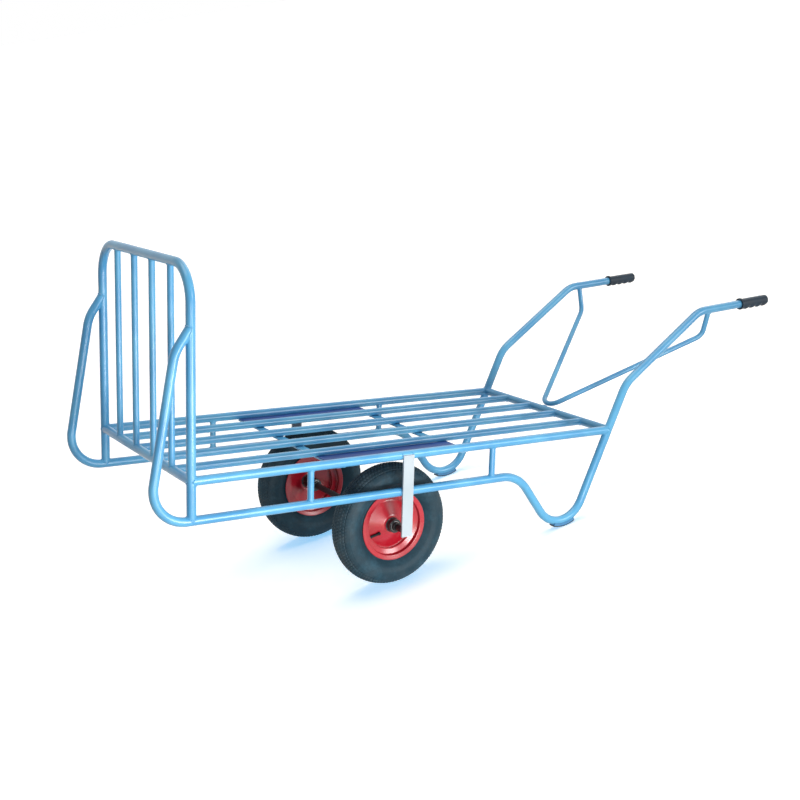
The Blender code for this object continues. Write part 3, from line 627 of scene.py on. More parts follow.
def finish_material(name):
    """A new material: its tree, its shader, and the place and the edge value of each point."""
    material = bpy.data.materials.new(name)
    material.use_nodes = True
    tree = material.node_tree
    place = node(tree, "ShaderNodeTexCoord").outputs["Object"]
    edge = node(tree, "ShaderNodeAttribute", attribute_name="edge").outputs["Fac"]
    return material, tree, tree.nodes["Principled BSDF"], place, edge


def placed(tree, made_group, **inputs):
    """The outputs of a shared group in a finish's own tree, with its own inputs."""
    return node(tree, "ShaderNodeGroup", inputs, node_tree=made_group).outputs


def dust_on(tree, place, amount, reach):
    """Dust of a finish: between two distances from the axle on a wheel, or else towards the floor."""
    if not reach:
        return placed(tree, DUST_FILM, place=place, amount=amount)["dust"]
    clean, dusty = reach
    return placed(tree, TURNING_DUST, place=place, amount=amount, clean=clean, dusty=dusty)["dust"]


def join_finish(tree, shader, tone, rough, bump, even):
    """Joins a finish's colour, roughness and bump to its shader, and sets what is even all over.

    bump is a height, its strength and its distance.
    """
    bump = dict(zip(("Height", "Strength", "Distance"), bump))
    normal = node(tree, "ShaderNodeBump", bump).outputs[0]
    for socket, value in (("Base Color", tone), ("Roughness", rough), ("Normal", normal)):
        tree.links.new(value, shader.inputs[socket])
    for socket, value in even.items():
        shader.inputs[socket].default_value = value


def sole_mask(tree, place):
    """1 on the worn sole of a foot shoe, by the distance from the centre of the foot's bend."""
    depth = distance_from(tree, place, to_world(FOOT_CENTRE))
    ragged = add_shares(tree, depth, (noise(tree, place, 90.0, 4.0), 0.003))
    return steps_between(tree, ragged, SOLE_RADIUS - SOLE_WEAR_ENDS, SOLE_RADIUS - SOLE_WEAR_FULL)


def painted(name, slot, base, light, bare, gloss, chip_level, dust, reach=None, under=None):
    """Sprayed steel: two tones of the paint, chips down to the bare colour, scratches, rubbed edges and dust.

    under is a mask and the colour that shows there.
    """
    material, tree, shader, place, edge = finish_material(name)
    skin = placed(tree, PAINT_SKIN, place=place)
    wear = placed(tree, WEAR_MARKS, place=place, edge=edge, chip_level=chip_level)
    film = dust_on(tree, place, dust, reach)
    tone = blend_colours(tree, steps_between(tree, skin["tone"], 0.3, 0.7), colour(base), colour(light))
    if under:
        mask, below = under
        tone = blend_colours(tree, mask(tree, place), tone, colour(below))
    faint = math_node(tree, "MAXIMUM", wear["scratches"], times(tree, wear["rub"], 0.45))
    paler = tuple(min(255, value * 0.8 + 60) for value in light)
    tone = blend_colours(tree, faint, tone, colour(paler))
    tone = blend_colours(tree, wear["chips"], tone, colour(bare))
    tone = blend_colours(tree, film, tone, colour(PAINT_DUST))
    rough = add_shares(tree, gloss, (skin["gloss"], 0.10), (film, 0.4), (wear["chips"], 0.3))
    height = math_node(tree, "SUBTRACT", skin["peel"], times(tree, wear["chips"], 2.0))
    even = {"Specular IOR Level": 0.38, "Coat Weight": 0.3, "Coat Roughness": 0.25}
    join_finish(tree, shader, tone, rough, (height, 0.10, 0.0006), even)
    return material, slot


def rubber(name, slot, base, light, dust, grain, reach=None, rough=0.58, shine=0.25):
    """Moulded rubber: a dull skin with a fine grain, paler scuffs and edges, and dust."""
    material, tree, shader, place, edge = finish_material(name)
    film = dust_on(tree, place, dust, reach)
    scuffs = steps_between(tree, noise(tree, place, 16.0, 6.0, 0.7), 0.42, 0.78)
    tone = blend_colours(tree, add_shares(tree, scuffs, (edge, 0.5)), colour(base), colour(light))
    tone = blend_colours(tree, film, tone, colour(RUBBER_DUST))
    rough = add_shares(tree, rough, (scuffs, 0.16), (film, 0.3))
    bump = (noise(tree, place, grain, 4.0), 0.25, 0.0005)
    join_finish(tree, shader, tone, rough, bump, {"Specular IOR Level": shine})
    return material, slot


def turned_steel(name, slot, base, light):
    """Turned steel: fine rings round the axle's line, a faint stain and an even metal shine."""
    material, tree, shader, place, edge = finish_material(name)
    rings = placed(tree, TURNING_DUST, place=place)["rings"]
    stain = steps_between(tree, noise(tree, place, 45.0, 5.0), 0.4, 0.7)
    dull = add_shares(tree, stain, (edge, -0.5))
    tone = blend_colours(tree, dull, colour(light), colour(base))
    rough = add_shares(tree, 0.24, (rings, 0.2), (dull, 0.15))
    join_finish(tree, shader, tone, rough, (rings, 0.15, 0.0003), {"Metallic": 1.0})
    return material, slot


# A finish is a material and the record's slot that it stands for. A paint has its two tones, the colour under
# its chips, its roughness, the level of its chips and its dust; a rubber has its two tones, its dust and its
# grain. reach gives the two distances of a wheel's dust.
PAINT_DUST, RUBBER_DUST = (158, 160, 160), (134, 136, 134)
BLUE_PAINT = painted(
    "blue_paint", "frame_paint", (70, 146, 194), (90, 166, 206), (88, 98, 108), 0.25, 0.80, 0.0
)
# Axle hangers: a paler, greyer copy of the blue frame paint, which paints the glare of light on their flat faces
# as a painted highlight.
HANGER_PAINTED_HIGHLIGHT = painted(
    "hanger_painted_highlight", "frame_paint", (162, 175, 183), (174, 185, 192), (100, 106, 112), 0.34, 0.78, 0.0
)
SHOE_PAINT = painted(
    "shoe_paint", "shoe_steel", (50, 110, 156), (62, 124, 170), (98, 100, 104), 0.40, 0.76, 0.1,
    under=(sole_mask, (20, 26, 32)),
)
# Wheel guards: a darker copy of the blue frame paint, which paints the shade that falls on them under the deck
# bars.
GUARD_PAINTED_SHADE = painted(
    "guard_paint", "guard_paint", (5, 46, 114), (10, 60, 134), (90, 96, 104), 0.45, 0.78, 0.0
)
RED_PAINT = painted(
    "red_paint", "wheel_paint", (158, 14, 32), (176, 26, 44), (116, 84, 82), 0.17, 0.80, 0.06,
    reach=(0.03, 0.11),
)
BLACK_PAINT = painted(
    "black_paint", "black_fittings", (10, 14, 18), (20, 25, 30), (84, 88, 90), 0.42, 0.77, 0.04
)
TYRE_RUBBER = rubber("tyre_rubber", "tyre", (16, 45, 57), (42, 74, 88), 0.16, 900.0, reach=(0.13, 0.20))
GRIP_RUBBER = rubber(
    "grip_rubber", "grip_rubber", (18, 36, 50), (34, 56, 72), 0.0, 1300.0, rough=0.44, shine=0.3
)
TUBE_RUBBER = rubber(
    "tube_rubber", "tube_rubber", (14, 20, 25), (30, 36, 42), 0.05, 700.0, reach=(0.03, 0.15)
)
STEEL = turned_steel("turned_steel", "bright_steel", (120, 116, 112), (196, 197, 200))


# Frame: every painted tube, with its ends run into the tube that it meets


def painted_tube(node_name, corners, diameter, outward, radii=()):
    """Round tube in place of its solid: one circle carried along the bent centre line through its corners."""
    path = bent_path(np.array(corners, float), radii)
    skin = shell(to_world(sweep(path, outward, diameter / 2, TUBE_SIDES)))
    piece(f"{node_name}_painted", [skin], BLUE_PAINT, node_name=node_name)


def make_frame_tubes():
    """The side tubes, rails and struts of both sides, the headboard, the deck and the handle brace."""
    for label, side in SIDES:
        corners = [(0, 0, FRONT_JOIN_HEIGHT), (-FRONT_BEND_REACH, 0, FRONT_BEND_HEIGHT)]
        corners += [(-NOSE_REACH, 0, -LOWER_RAIL_DROP), (HUMP_X, 0, -LOWER_RAIL_DROP), FOOT_CORNER]
        corners += [LOWER_BEND, UPPER_BEND, HANDLE_END]
        radii = [FRONT_BEND_RADIUS, NOSE_RADIUS, HUMP_RADIUS]
        radii += [FOOT_RADIUS, LOWER_BEND_RADIUS, UPPER_BEND_RADIUS]
        painted_tube(f"{label}_side_tube", [at_side(c, side) for c in corners], FRAME_TUBE, Y, radii)
        rail = [at_side((x, 0, 0), side) for x in (0, DECK_LENGTH)]
        painted_tube(f"{label}_side_rail", rail, FRAME_TUBE, Y)
        for place, x in (("front", FRONT_STRUT_X), ("rear", REAR_STRUT_X)):
            strut = [at_side((x, 0, z), side) for z in (-LOWER_RAIL_DROP, 0)]
            painted_tube(f"{label}_{place}_strut", strut, STRUT_TUBE, Y)
    arch = [(0, -HALF_WIDTH, -LOWER_RAIL_DROP), (0, -HALF_WIDTH, HEADBOARD_HEIGHT)]
    arch += [(0, -y, z) for _, y, z in reversed(arch)]
    painted_tube("headboard_arch", arch, FRAME_TUBE, X, [HEADBOARD_CORNER_RADIUS] * 2)
    for place, x in (("front", 0), ("rear", DECK_LENGTH)):
        painted_tube(f"{place}_crossbar", [(x, -HALF_WIDTH, 0), (x, HALF_WIDTH, 0)], FRAME_TUBE, Z)
    for k, y in enumerate(BAR_PLACES):
        painted_tube(f"deck_bar_{k + 1}", [(0, y, 0), (DECK_LENGTH, y, 0)], DECK_BAR_TUBE, Z)
        painted_tube(f"headboard_bar_{k + 1}", [(0, y, 0), (0, y, HEADBOARD_HEIGHT)], HEAD_BAR_TUBE, X)
    radii = [BRACE_BEND_RADIUS, BRACE_FOOT_RADIUS, BRACE_BEND_RADIUS]
    painted_tube("handle_brace", BRACE_CORNERS, BRACE_TUBE, X, radii)


def weld_ring(start, direction, radius, along, other_radius=FRAME_RADIUS):
    """Weld bead where a tube that leaves start in direction meets the tube through start along another line.

    A point of the first tube is start + radius * (cos a u + sin a v) + t * direction. The bead's centre line
    has the largest t at which that point is other_radius from the second tube's axis, a square root in a. The
    bead's own radius carries the ripples of the weld pool.
    """
    direction, along = unit(np.asarray(direction, float)), unit(np.asarray(along, float))
    u = unit(np.cross(direction, Y if abs(direction[1]) < 0.8 else X))
    v = np.cross(direction, u)
    a = full_turn(WELD_STEPS)[:, None]
    outward = u * np.cos(a) + v * np.sin(a)
    across = outward * radius - (outward @ along)[:, None] * radius * along
    onward = direction - (direction @ along) * along
    squared = onward @ onward
    middle = (across @ onward) / squared
    room = np.maximum(middle**2 - ((across**2).sum(1) - other_radius**2) / squared, 0)
    reach = np.sqrt(room) - middle
    path = np.asarray(start) + outward * radius + reach[:, None] * direction
    bead = RING_WELD_RADIUS * ripples(a[:, 0], round(math.pi * radius / WELD_RIPPLE))
    return shell(to_world(sweep(path, outward, bead, WELD_SIDES, closed=True)), ring=True)


def ripples(angle, count):
    """Ripples of a weld pool as shares of the bead's radius: 1 + share * cos(count * angle)."""
    return 1 + RIPPLE_SHARE * np.cos(angle * count)


def weld_arc(centre, radius, face, up, half_angle, size):
    """Short weld along a tube's side: an arc about the tube's line, thick in the middle and thin at its
    ends. With s from -1 to 1 along it, its radius is size * sqrt(1.02 - s^2) * (1 + 0.12 cos 16 s)."""
    share = np.linspace(-1, 1, 24)
    angle = (share * half_angle)[:, None]
    outward = face * np.cos(angle) + up * np.sin(angle)
    path = np.asarray(centre) + outward * radius
    bead = size * np.sqrt(1.02 - share**2) * (1 + 0.12 * np.cos(share * 16))
    return shell(to_world(sweep(path, outward, bead, WELD_SIDES)))


def make_welds():
    """All the weld beads of the frame, as one painted piece."""
    beads = []
    guard = (-FRONT_BEND_REACH, 0, FRONT_BEND_HEIGHT - FRONT_JOIN_HEIGHT)
    for (_, side), top, bend in zip(SIDES, BRACE_CORNERS[::4], BRACE_CORNERS[1::2]):
        joints = [
            ((0, 0, -LOWER_RAIL_DROP), Z, FRAME_RADIUS, X),
            ((0, 0, 0), X, FRAME_RADIUS, Z),
            ((DECK_LENGTH, 0, 0), -X, FRAME_RADIUS, LEG_DIRECTION),
            ((0, 0, 0), -side * Y, FRAME_RADIUS, Z),
            ((DECK_LENGTH, 0, 0), -side * Y, FRAME_RADIUS, LEG_DIRECTION),
            ((0, 0, FRONT_JOIN_HEIGHT), guard, FRAME_RADIUS, Z),
            (top, bend - top, BRACE_TUBE / 2, HANDLE_DIRECTION),
        ]
        for x in (FRONT_STRUT_X, REAR_STRUT_X):
            joints += [((x, 0, z), way, STRUT_TUBE / 2, X) for z, way in ((-LOWER_RAIL_DROP, Z), (0, -Z))]
        beads += [weld_ring(at_side(start, side), *others) for start, *others in joints]
        for z in (0, -LOWER_RAIL_DROP):
            for edge in (-1, 1):
                centre = at_side((AXLE_X + edge * HANGER_WIDTH / 2, 0, z), side)
                beads.append(weld_arc(centre, FRAME_RADIUS, side * Y, Z, HANGER_WELD_ARC, ARC_WELD_RADIUS))
    for y in BAR_PLACES:
        joints = [((0, y, 0), Z, HEAD_BAR_TUBE), ((0, y, HEADBOARD_HEIGHT), -Z, HEAD_BAR_TUBE)]
        joints += [((0, y, 0), X, DECK_BAR_TUBE), ((DECK_LENGTH, y, 0), -X, DECK_BAR_TUBE)]
        beads += [weld_ring(start, way, tube / 2, Y) for start, way, tube in joints]
        for x in (AXLE_X - TIE_OFFSET, AXLE_X + TIE_OFFSET):
            for edge in (-1, 1):
                centre = (x + edge * TIE_WIDTH / 2, y, 0)
                beads.append(weld_arc(centre, DECK_BAR_TUBE / 2, -Z, Y, TIE_WELD_ARC, RING_WELD_RADIUS))
    seat = side_view(BRACE_SEAT_ANGLE)
    beads.append(weld_ring((DECK_LENGTH, 0, 0), seat, BRACE_TUBE * BRACE_WELD_SHARE, Y))
    piece("weld_beads", beads, BLUE_PAINT)


# Grips and foot shoes


def make_grip(label, side):
    """Moulded grip. Its radius at x along it and angle a round it is the core, plus a collar at the inner
    end, plus finger swells |sin(pi x / pitch)|^1.1 below, plus fine ribs above, less the end's rounding."""
    end_ease, collar_ease = 0.002, 0.0012
    ribs_start, ribs_end = GRIP_COLLAR_WIDTH + 0.005, GRIP_LENGTH - 0.006
    x = [np.linspace(0, FINGER_START, 26), np.linspace(FINGER_START, GRIP_LENGTH - end_ease, 150)[1:]]
    x = np.concatenate(x + [GRIP_LENGTH - end_ease * (1 - np.sin(np.linspace(0, math.pi / 2, 8)[1:]))])
    x, a = np.meshgrid(x, full_turn(96), indexing="ij")
    pitch = (GRIP_LENGTH - FINGER_START) / FINGER_COUNT
    wave = np.abs(np.sin(math.pi * np.maximum(0, x - FINGER_START) / pitch)) ** 1.1
    below = np.clip(-np.sin(a), 0, 1) ** 1.6
    rise = np.clip((GRIP_COLLAR_WIDTH + collar_ease - np.abs(x - collar_ease)) / (2 * collar_ease), 0, 1)
    collar = GRIP_COLLAR_RISE * rise * rise * (3 - 2 * rise)
    inside = (x > ribs_start) & (x < ribs_end) & (np.sin(a) > -0.2)
    ribs = GRIP_RIB_RISE * np.where(inside, np.maximum(0, np.cos(GRIP_RIBS * a)), 0)
    rounding = end_ease - np.sqrt(end_ease**2 - np.maximum(0, x - GRIP_LENGTH + end_ease) ** 2)
    radius = FRAME_RADIUS + GRIP_WALL + collar + FINGER_DEPTH * wave * below + ribs - rounding
    # Two narrower rings close the end face
    radius = np.concatenate([radius, radius[-1:] * 0.96, radius[-1:] * 0.3])
    x = np.concatenate([x, x[-1:], x[-1:]])
    a = np.concatenate([a, a[:2]])
    start = at_side(HANDLE_END - HANDLE_DIRECTION * (GRIP_LENGTH - GRIP_END_WALL), side)
    up = np.cross(HANDLE_DIRECTION, Y)
    outward = np.cos(a)[..., None] * Y + np.sin(a)[..., None] * up
    skin = shell(to_world(start + x[..., None] * HANDLE_DIRECTION + radius[..., None] * outward))
    piece(f"{label}_grip_moulding", [skin], GRIP_RUBBER, node_name=f"{label}_grip")


def make_shoe(label, side):
    """Foot shoe: a cradle section carried round the foot bend. The section is an arc round the tube's
    underside closed by a flat sole; its depth below the bend's centre grows from the bend radius."""
    seat = FRAME_RADIUS + GAP
    wrap = np.linspace(-SHOE_WRAP, SHOE_WRAP, 21)
    arc = np.stack([seat * np.sin(wrap), seat * np.cos(wrap)], -1)
    half, shoulder = arc[-1, 0] + SHOE_SHOULDER, arc[-1, 1]
    sole = SOLE_RADIUS - FOOT_RADIUS
    base = [(half, shoulder + SHOE_SLANT), (half, sole - SOLE_EASE), (half - SOLE_EASE, sole)]
    section = np.concatenate([arc, base, [(-y, depth) for y, depth in reversed(base)]])
    angle = TILT + np.linspace(-SHOE_BEFORE, SHOE_BEHIND, 37)
    down = np.stack([np.sin(angle), np.zeros(len(angle)), -np.cos(angle)], -1)
    across, depth = section.T[..., None]
    rows = down[:, None] * (FOOT_RADIUS + depth) + across * Y
    skin = shell(to_world(rows + at_side(FOOT_CENTRE, side)))
    piece(f"{label}_foot_shoe_worn", [skin], SHOE_PAINT, node_name=f"{label}_foot_shoe")


# Axle and wheels


def wheel_place(side):
    """Centre of the wheel on one side, on the axle's line."""
    return AXLE_PLACE + side * WHEEL_CENTRE * Y


def make_axle():
    """Axle rod with eased ends, the two stop collars of each wheel, and the welds to the hangers."""
    half, radius, ease = HALF_WIDTH + FRAME_RADIUS, AXLE_DIAMETER / 2, 0.001
    y = np.array([-half, ease - half, half - ease, half])
    bar = np.array([radius - ease, radius, radius, radius - ease])
    rod = shell(sweep(AXLE_PLACE + y[:, None] * Y, X, bar, 48))
    piece("axle_rod", [rod], BLACK_PAINT, node_name="axle")
    half_collar, outer, bore = COLLAR_WIDTH / 2, COLLAR_DIAMETER / 2, radius + GAP
    end = [(bore, -half_collar), (outer, -half_collar)]
    outline = eased(end + mirrored(end), TURNED_EASE)
    for label, side in SIDES:
        for place, way in (("outer", 1), ("inner", -1)):
            offset = side * way * (HUB_LENGTH / 2 + RUNNING_GAP + half_collar)
            centre = wheel_place(side) + offset * Y
            screw = screw_head(centre + Z * (outer - SCREW_SINK), SCREW_RADIUS)
            name = f"{label}_{place}"
            shells = [lathe(outline, centre, 64), screw]
            piece(f"{name}_stop_collar", shells, BLACK_PAINT, node_name=f"{name}_collar")
    rings = [weld_ring(AXLE + side * half * Y, -side * Y, radius, X, FLAT_RING) for _, side in SIDES]
    piece("axle_welds", rings, BLUE_PAINT)


def screw_head(place, radius):
    """Set screw standing in a collar: a dome of revolution, radius * cos p out and half that * sin p up."""
    p = np.linspace(0, math.pi / 2 * 0.92, 7)[:, None]
    a = full_turn(18)
    ring = np.stack([np.cos(p) * np.cos(a), np.cos(p) * np.sin(a), 0.5 * np.sin(p) * np.ones_like(a)], -1)
    base = ring[:1] * [1, 1, 0] - [0, 0, 0.6]
    return shell(place + np.concatenate([base, ring]) * radius)


def tread_height(around, across):
    """Height of the tread above its grooves, 0 to 1, at lengths round and across the tyre.

    Rows of blocks are set half a block apart from one row to the next. With d as the share of the pitch to
    the nearest edge of a block, the height is (d - groove) / side, kept from 0 to 1.
    """
    row = np.floor(across / TREAD_PITCH + 0.5)
    along = around / TREAD_PITCH + 0.5 * (row % 2)
    edge_along = 0.5 - np.abs(along - np.floor(along) - 0.5)
    edge_across = 0.5 - np.abs(across / TREAD_PITCH + 0.5 - row - 0.5)
    block = np.minimum(edge_along, edge_across)
    return np.clip((block - GROOVE_SHARE) / GROOVE_SIDE, 0, 1)


def tyre_lining():
    """Inside of a tyre from bead to bead as (radius, place): a bead's heel and seat, the lining's arc,
    radius CARCASS + height * cos q and place width * sin q, and the other bead."""
    bead = RIM_HALF_WIDTH - RIM_SHEET - GAP
    low, shoulder = BEAD_RADIUS + GAP, RIM_FLANGE_RADIUS + RIM_LIP
    height = TYRE_RADIUS - TREAD_WALL - CARCASS_RADIUS
    q = np.linspace(-LINING_ARC, LINING_ARC, 24)
    arc = np.stack([CARCASS_RADIUS + height * np.cos(q), (TYRE_WIDTH / 2 - TYRE_WALL) * np.sin(q)], -1)
    heel = [(shoulder, -bead), (low + BEAD_EASE, -bead), (low, BEAD_EASE - bead), (low, BEAD_SEAT - bead)]
    return np.concatenate([heel, arc, mirrored(heel)])


def make_tyre(label, side):
    """Tyre: an oval carcass, radius CARCASS + height * cos p and place width * sin p, raised into tread
    blocks round its crown and ringed on its walls, and closed by the beads and the lining."""
    height, width = TYRE_RADIUS - CARCASS_RADIUS, TYRE_WIDTH / 2
    p = np.linspace(SIDEWALL_ARC, -SIDEWALL_ARC, TREAD_COLUMNS)
    steps = np.hypot(np.diff(height * np.cos(p)), np.diff(width * np.sin(p)))
    wall = np.concatenate([[0], np.cumsum(steps)])
    across = wall - wall[-1] / 2
    turn = full_turn(TREAD_STEPS)[:, None]
    count = round(2 * math.pi * TYRE_RADIUS / TREAD_PITCH / 2) * 2
    blocks = tread_height(turn / (2 * math.pi) * count * TREAD_PITCH, across[None])
    tread = np.clip((TREAD_REACH - np.abs(across)) / TREAD_FADE, 0, 1)
    rings = sum(np.exp(-(((np.abs(across) - place) / WALL_RING_WIDTH) ** 2)) for place in WALL_RINGS)
    lift = WALL_RING_RISE * rings - TREAD_DEPTH * tread * (1 - blocks)
    out = unit(np.stack([np.cos(p) / height, np.sin(p) / width], -1))
    lining = tyre_lining()
    inner = np.broadcast_to(lining, (TREAD_STEPS, *lining.shape))
    radius = np.concatenate([CARCASS_RADIUS + height * np.cos(p) + lift * out[:, 0], inner[..., 0]], 1)
    place = np.concatenate([width * np.sin(p) + lift * out[:, 1], inner[..., 1]], 1)
    skin = shell(turned(radius, place, turn) + wheel_place(side), ring=True)
    piece(f"{label}_tyre_tread", [skin], TYRE_RUBBER, f"{label}_wheel", f"{label}_tyre")


def make_rim(label, side):
    """Rim of one folded sheet: rolled flanges, bead seats and the well, its outline eased at every fold."""
    top, edge, sheet, turn_in = RIM_FLANGE_RADIUS, RIM_HALF_WIDTH, RIM_SHEET, RIM_WELL_HALF_WIDTH
    slope = RIM_WELL_SLOPE / (BEAD_RADIUS - RIM_WELL_RADIUS)
    mitre = sheet * (math.hypot(1, slope) - slope)
    seat = turn_in + RIM_WELL_SLOPE
    upper = [(top - RIM_CURL, edge + RIM_LIP), (top, edge), (BEAD_RADIUS, edge - sheet)]
    upper += [(BEAD_RADIUS, seat), (RIM_WELL_RADIUS, turn_in)]
    lower = [(RIM_WELL_RADIUS - sheet, turn_in + mitre), (BEAD_RADIUS - sheet, seat + mitre)]
    lower += [(BEAD_RADIUS - sheet, edge), (top - sheet, edge + RIM_LIP)]
    outline = upper + mirrored(upper) + mirrored(lower) + lower
    skin = lathe(eased(outline, RIM_EASE), wheel_place(side))
    piece(f"{label}_rim_pressing", [skin], RED_PAINT, f"{label}_wheel", f"{label}_rim")


def make_disc(label, side):
    """Wheel disc: a boss round the hub, then a cone that falls to a flat edge welded into the rim's well."""
    overlap, inset, dish, half = 0.0005, 0.0006, side * DISC_DISH, DISC_SHEET / 2
    rim = RIM_WELL_RADIUS - RIM_SHEET + overlap
    front = [(HUB_RADIUS - overlap, dish), (HUB_RADIUS + DISC_BOSS_WIDTH, dish)]
    front += [(rim - DISC_EDGE_WIDTH, 0), (rim, 0)]
    outline = [(r, y + half) for r, y in front] + [(r, y - half) for r, y in reversed(front)]
    centre = wheel_place(side)
    shells = [lathe(eased(outline, DISC_EASE), centre)]
    shells += [weld_circle(centre + way * half * Y, rim - inset, *DISC_WELD) for way in (-1, 1)]
    piece(f"{label}_disc_pressing", shells, RED_PAINT, f"{label}_wheel", f"{label}_wheel_disc")


def weld_circle(centre, radius, size, count):
    """Weld bead round the axle's line: a circle whose bead radius is size times its ripples."""
    a = full_turn(4 * count)
    outward = np.cos(a)[:, None] * X + np.sin(a)[:, None] * Z
    bead = size * ripples(a, count)
    return shell(sweep(centre + outward * radius, outward, bead, WELD_SIDES, closed=True), ring=True)


def make_hub(label, side):
    """Hub tube bored out for its bearings, and the two welds that hold it in the disc."""
    half, seat = HUB_LENGTH / 2, BEARING_DIAMETER / 2 + GAP
    shoulder, bore = half - BEARING_WIDTH - RUNNING_GAP, BEARING_DIAMETER / 2 - HUB_LEDGE
    end = [(bore, shoulder), (seat, shoulder), (seat, half), (HUB_RADIUS, half)]
    outline = eased(end + mirrored(end), TURNED_EASE)
    centre, body = wheel_place(side), f"{label}_wheel"
    piece(f"{label}_hub_tube", [lathe(outline, centre, 96)], BLACK_PAINT, body, f"{label}_hub")
    faces = [centre + (side * DISC_DISH + way * DISC_SHEET / 2) * Y for way in (-1, 1)]
    rings = [weld_circle(face, HUB_RADIUS, *HUB_WELD) for face in faces]
    piece(f"{label}_hub_weld", rings, BLACK_PAINT, body)


def make_bearings(label, side):
    """A wheel's two bearings: an inner and an outer race, and a shield sunk between them at the open face.

    As in the solids, the one towards positive Y is called outer on both wheels.
    """
    bore, outer, half = AXLE_DIAMETER / 2 + GAP, BEARING_DIAMETER / 2, BEARING_WIDTH / 2
    shield = half - SHIELD_DEPTH
    face = [(bore, half), (bore + INNER_RACE_WALL, half), (bore + INNER_RACE_WALL + SHIELD_SLOPE, shield)]
    face += [(outer - OUTER_RACE_WALL - SHIELD_SLOPE, shield), (outer - OUTER_RACE_WALL, half), (outer, half)]
    for place, way in (("outer", 1), ("inner", -1)):
        section = [(r, way * y) for r, y in face] + [(outer, -way * half), (bore, -way * half)]
        middle = wheel_place(side) + way * (HUB_LENGTH / 2 - half - RUNNING_GAP / 2) * Y
        race = lathe(eased(section, RACE_EASE, 3), middle, 72)
        name = f"{label}_{place}_bearing"
        piece(f"{name}_race", [race], STEEL, f"{label}_wheel", name)


def make_valve(label, side):
    """Tyre valve: a rubber foot, a stem that leans out from the disc, and a cap whose radius is ribbed by
    rise * cos(ribs * a). Its outline, (length along it, radius), is given in millimetres."""
    inward = -side_view(VALVE_ANGLE)
    foot, stem = [(0, 5), (4.6, 5), (5.2, 4.8), (5.5, 4.4)], [(along, 4) for along in (7, 8.5, 10, 11.5)]
    neck = [(13, 3.9), (30.6, 3.9), (31, 3.4), (31.4, 3.4)]
    cap = [(31.8, 4.2), (32.6, 4.6), (38.2, 4.6), (39, 4.2), (39.4, 3.4)]
    advance, radius = np.array(foot + stem + neck + cap).T / 1000
    foot_end, bend_length, ribs_start, ribs_end = 0.0055, 0.0075, 0.0320, 0.0385
    lean = VALVE_LEAN * np.clip((advance - foot_end) / bend_length, 0, 1)
    way = np.cos(lean)[:, None] * inward + np.sin(lean)[:, None] * side * Y
    steps = np.diff(advance, prepend=0)[:, None] * way
    path = wheel_place(side) - inward * RIM_WELL_RADIUS + side * VALVE_PLACE * Y + np.cumsum(steps, 0)
    a = full_turn(72)
    ribbed = ((advance > ribs_start) & (advance < ribs_end))[:, None]
    ribs = CAP_RIB_RISE * ribbed * np.cos(CAP_RIBS * a)
    skin = shell(sweep(path, np.cross(inward, Y), radius[:, None] + ribs, len(a)))
    piece(f"{label}_valve_stem", [skin], TUBE_RUBBER, f"{label}_wheel", f"{label}_valve")


def make_flat_bars():
    """Hangers, cross ties and wheel guards, each in place of its own solid."""
    for place in ("front", "rear"):
        flat_bar(f"{place}_cross_tie", 0.0010, 0.0012, BLUE_PAINT)
    for label, _ in SIDES:
        # The hangers take the paler paint that paints a highlight on their flat faces.
        flat_bar(f"{label}_axle_hanger", 0.0010, 0.0014, HANGER_PAINTED_HIGHLIGHT)
        # The wheel guards take the darker paint that paints the shade under the deck bars.
        flat_bar(f"{label}_wheel_guard", 0.0008, 0.0050, GUARD_PAINTED_SHADE)


def dress_inner_tubes():
    """The inner tubes, hidden between tyre and rim, keep their solids and take the rubber."""
    for label, _ in SIDES:
        solid = frame["nodes"][f"{label}_inner_tube"]
        solid.data.materials.clear()
        solid.data.materials.append(TUBE_RUBBER[0])


# Studio and camera

# Even light from all round
SURROUNDINGS = 0.09
# Far lamps: name, the way to each, its width in degrees, its light on a white sheet that faces it squarely,
# and whether a gloss shows it
FAR_LAMPS = [
    ("overhead", (0.02, 0.08, 1.0), 44, 0.50, True),
    ("front_right", (0.52, -0.83, 0.14), 16, 0.40, True),
    ("behind", (0.75, 0.42, 0.50), 36, 0.14, True),
    ("back_fill", (0.10, 1.0, 0.12), 60, 0.30, False),
]
# Near soft boxes: name, place, width and height, watts, and the point that each faces
SOFT_BOXES = [
    ("side_box", (-0.45, -2.25, 0.30), (0.6, 0.4), 34, (-0.8, -0.2, 0.5)),
    ("front_box", (-1.9, -3.3, 0.50), (0.5, 0.6), 30, (-0.6, -0.2, 0.5)),
]
# Share of each colour of the floor that goes dark where no light falls
SHADOW_SHARE = np.array([1.02, 0.67, 0.31])
FLOOR_WHITE = 1.17


def by_ray(tree, lit, shown):
    """Surface by the kind of ray: what lights other things, and what the camera, a gloss and a glass see."""
    path = node(tree, "ShaderNodeLightPath").outputs
    seen = math_node(tree, "MAXIMUM", path["Is Glossy Ray"], path["Is Transmission Ray"])
    seen = math_node(tree, "MAXIMUM", seen, path["Is Camera Ray"])
    return node(tree, "ShaderNodeMixShader", {0: seen, 1: lit, 2: shown}).outputs[0]


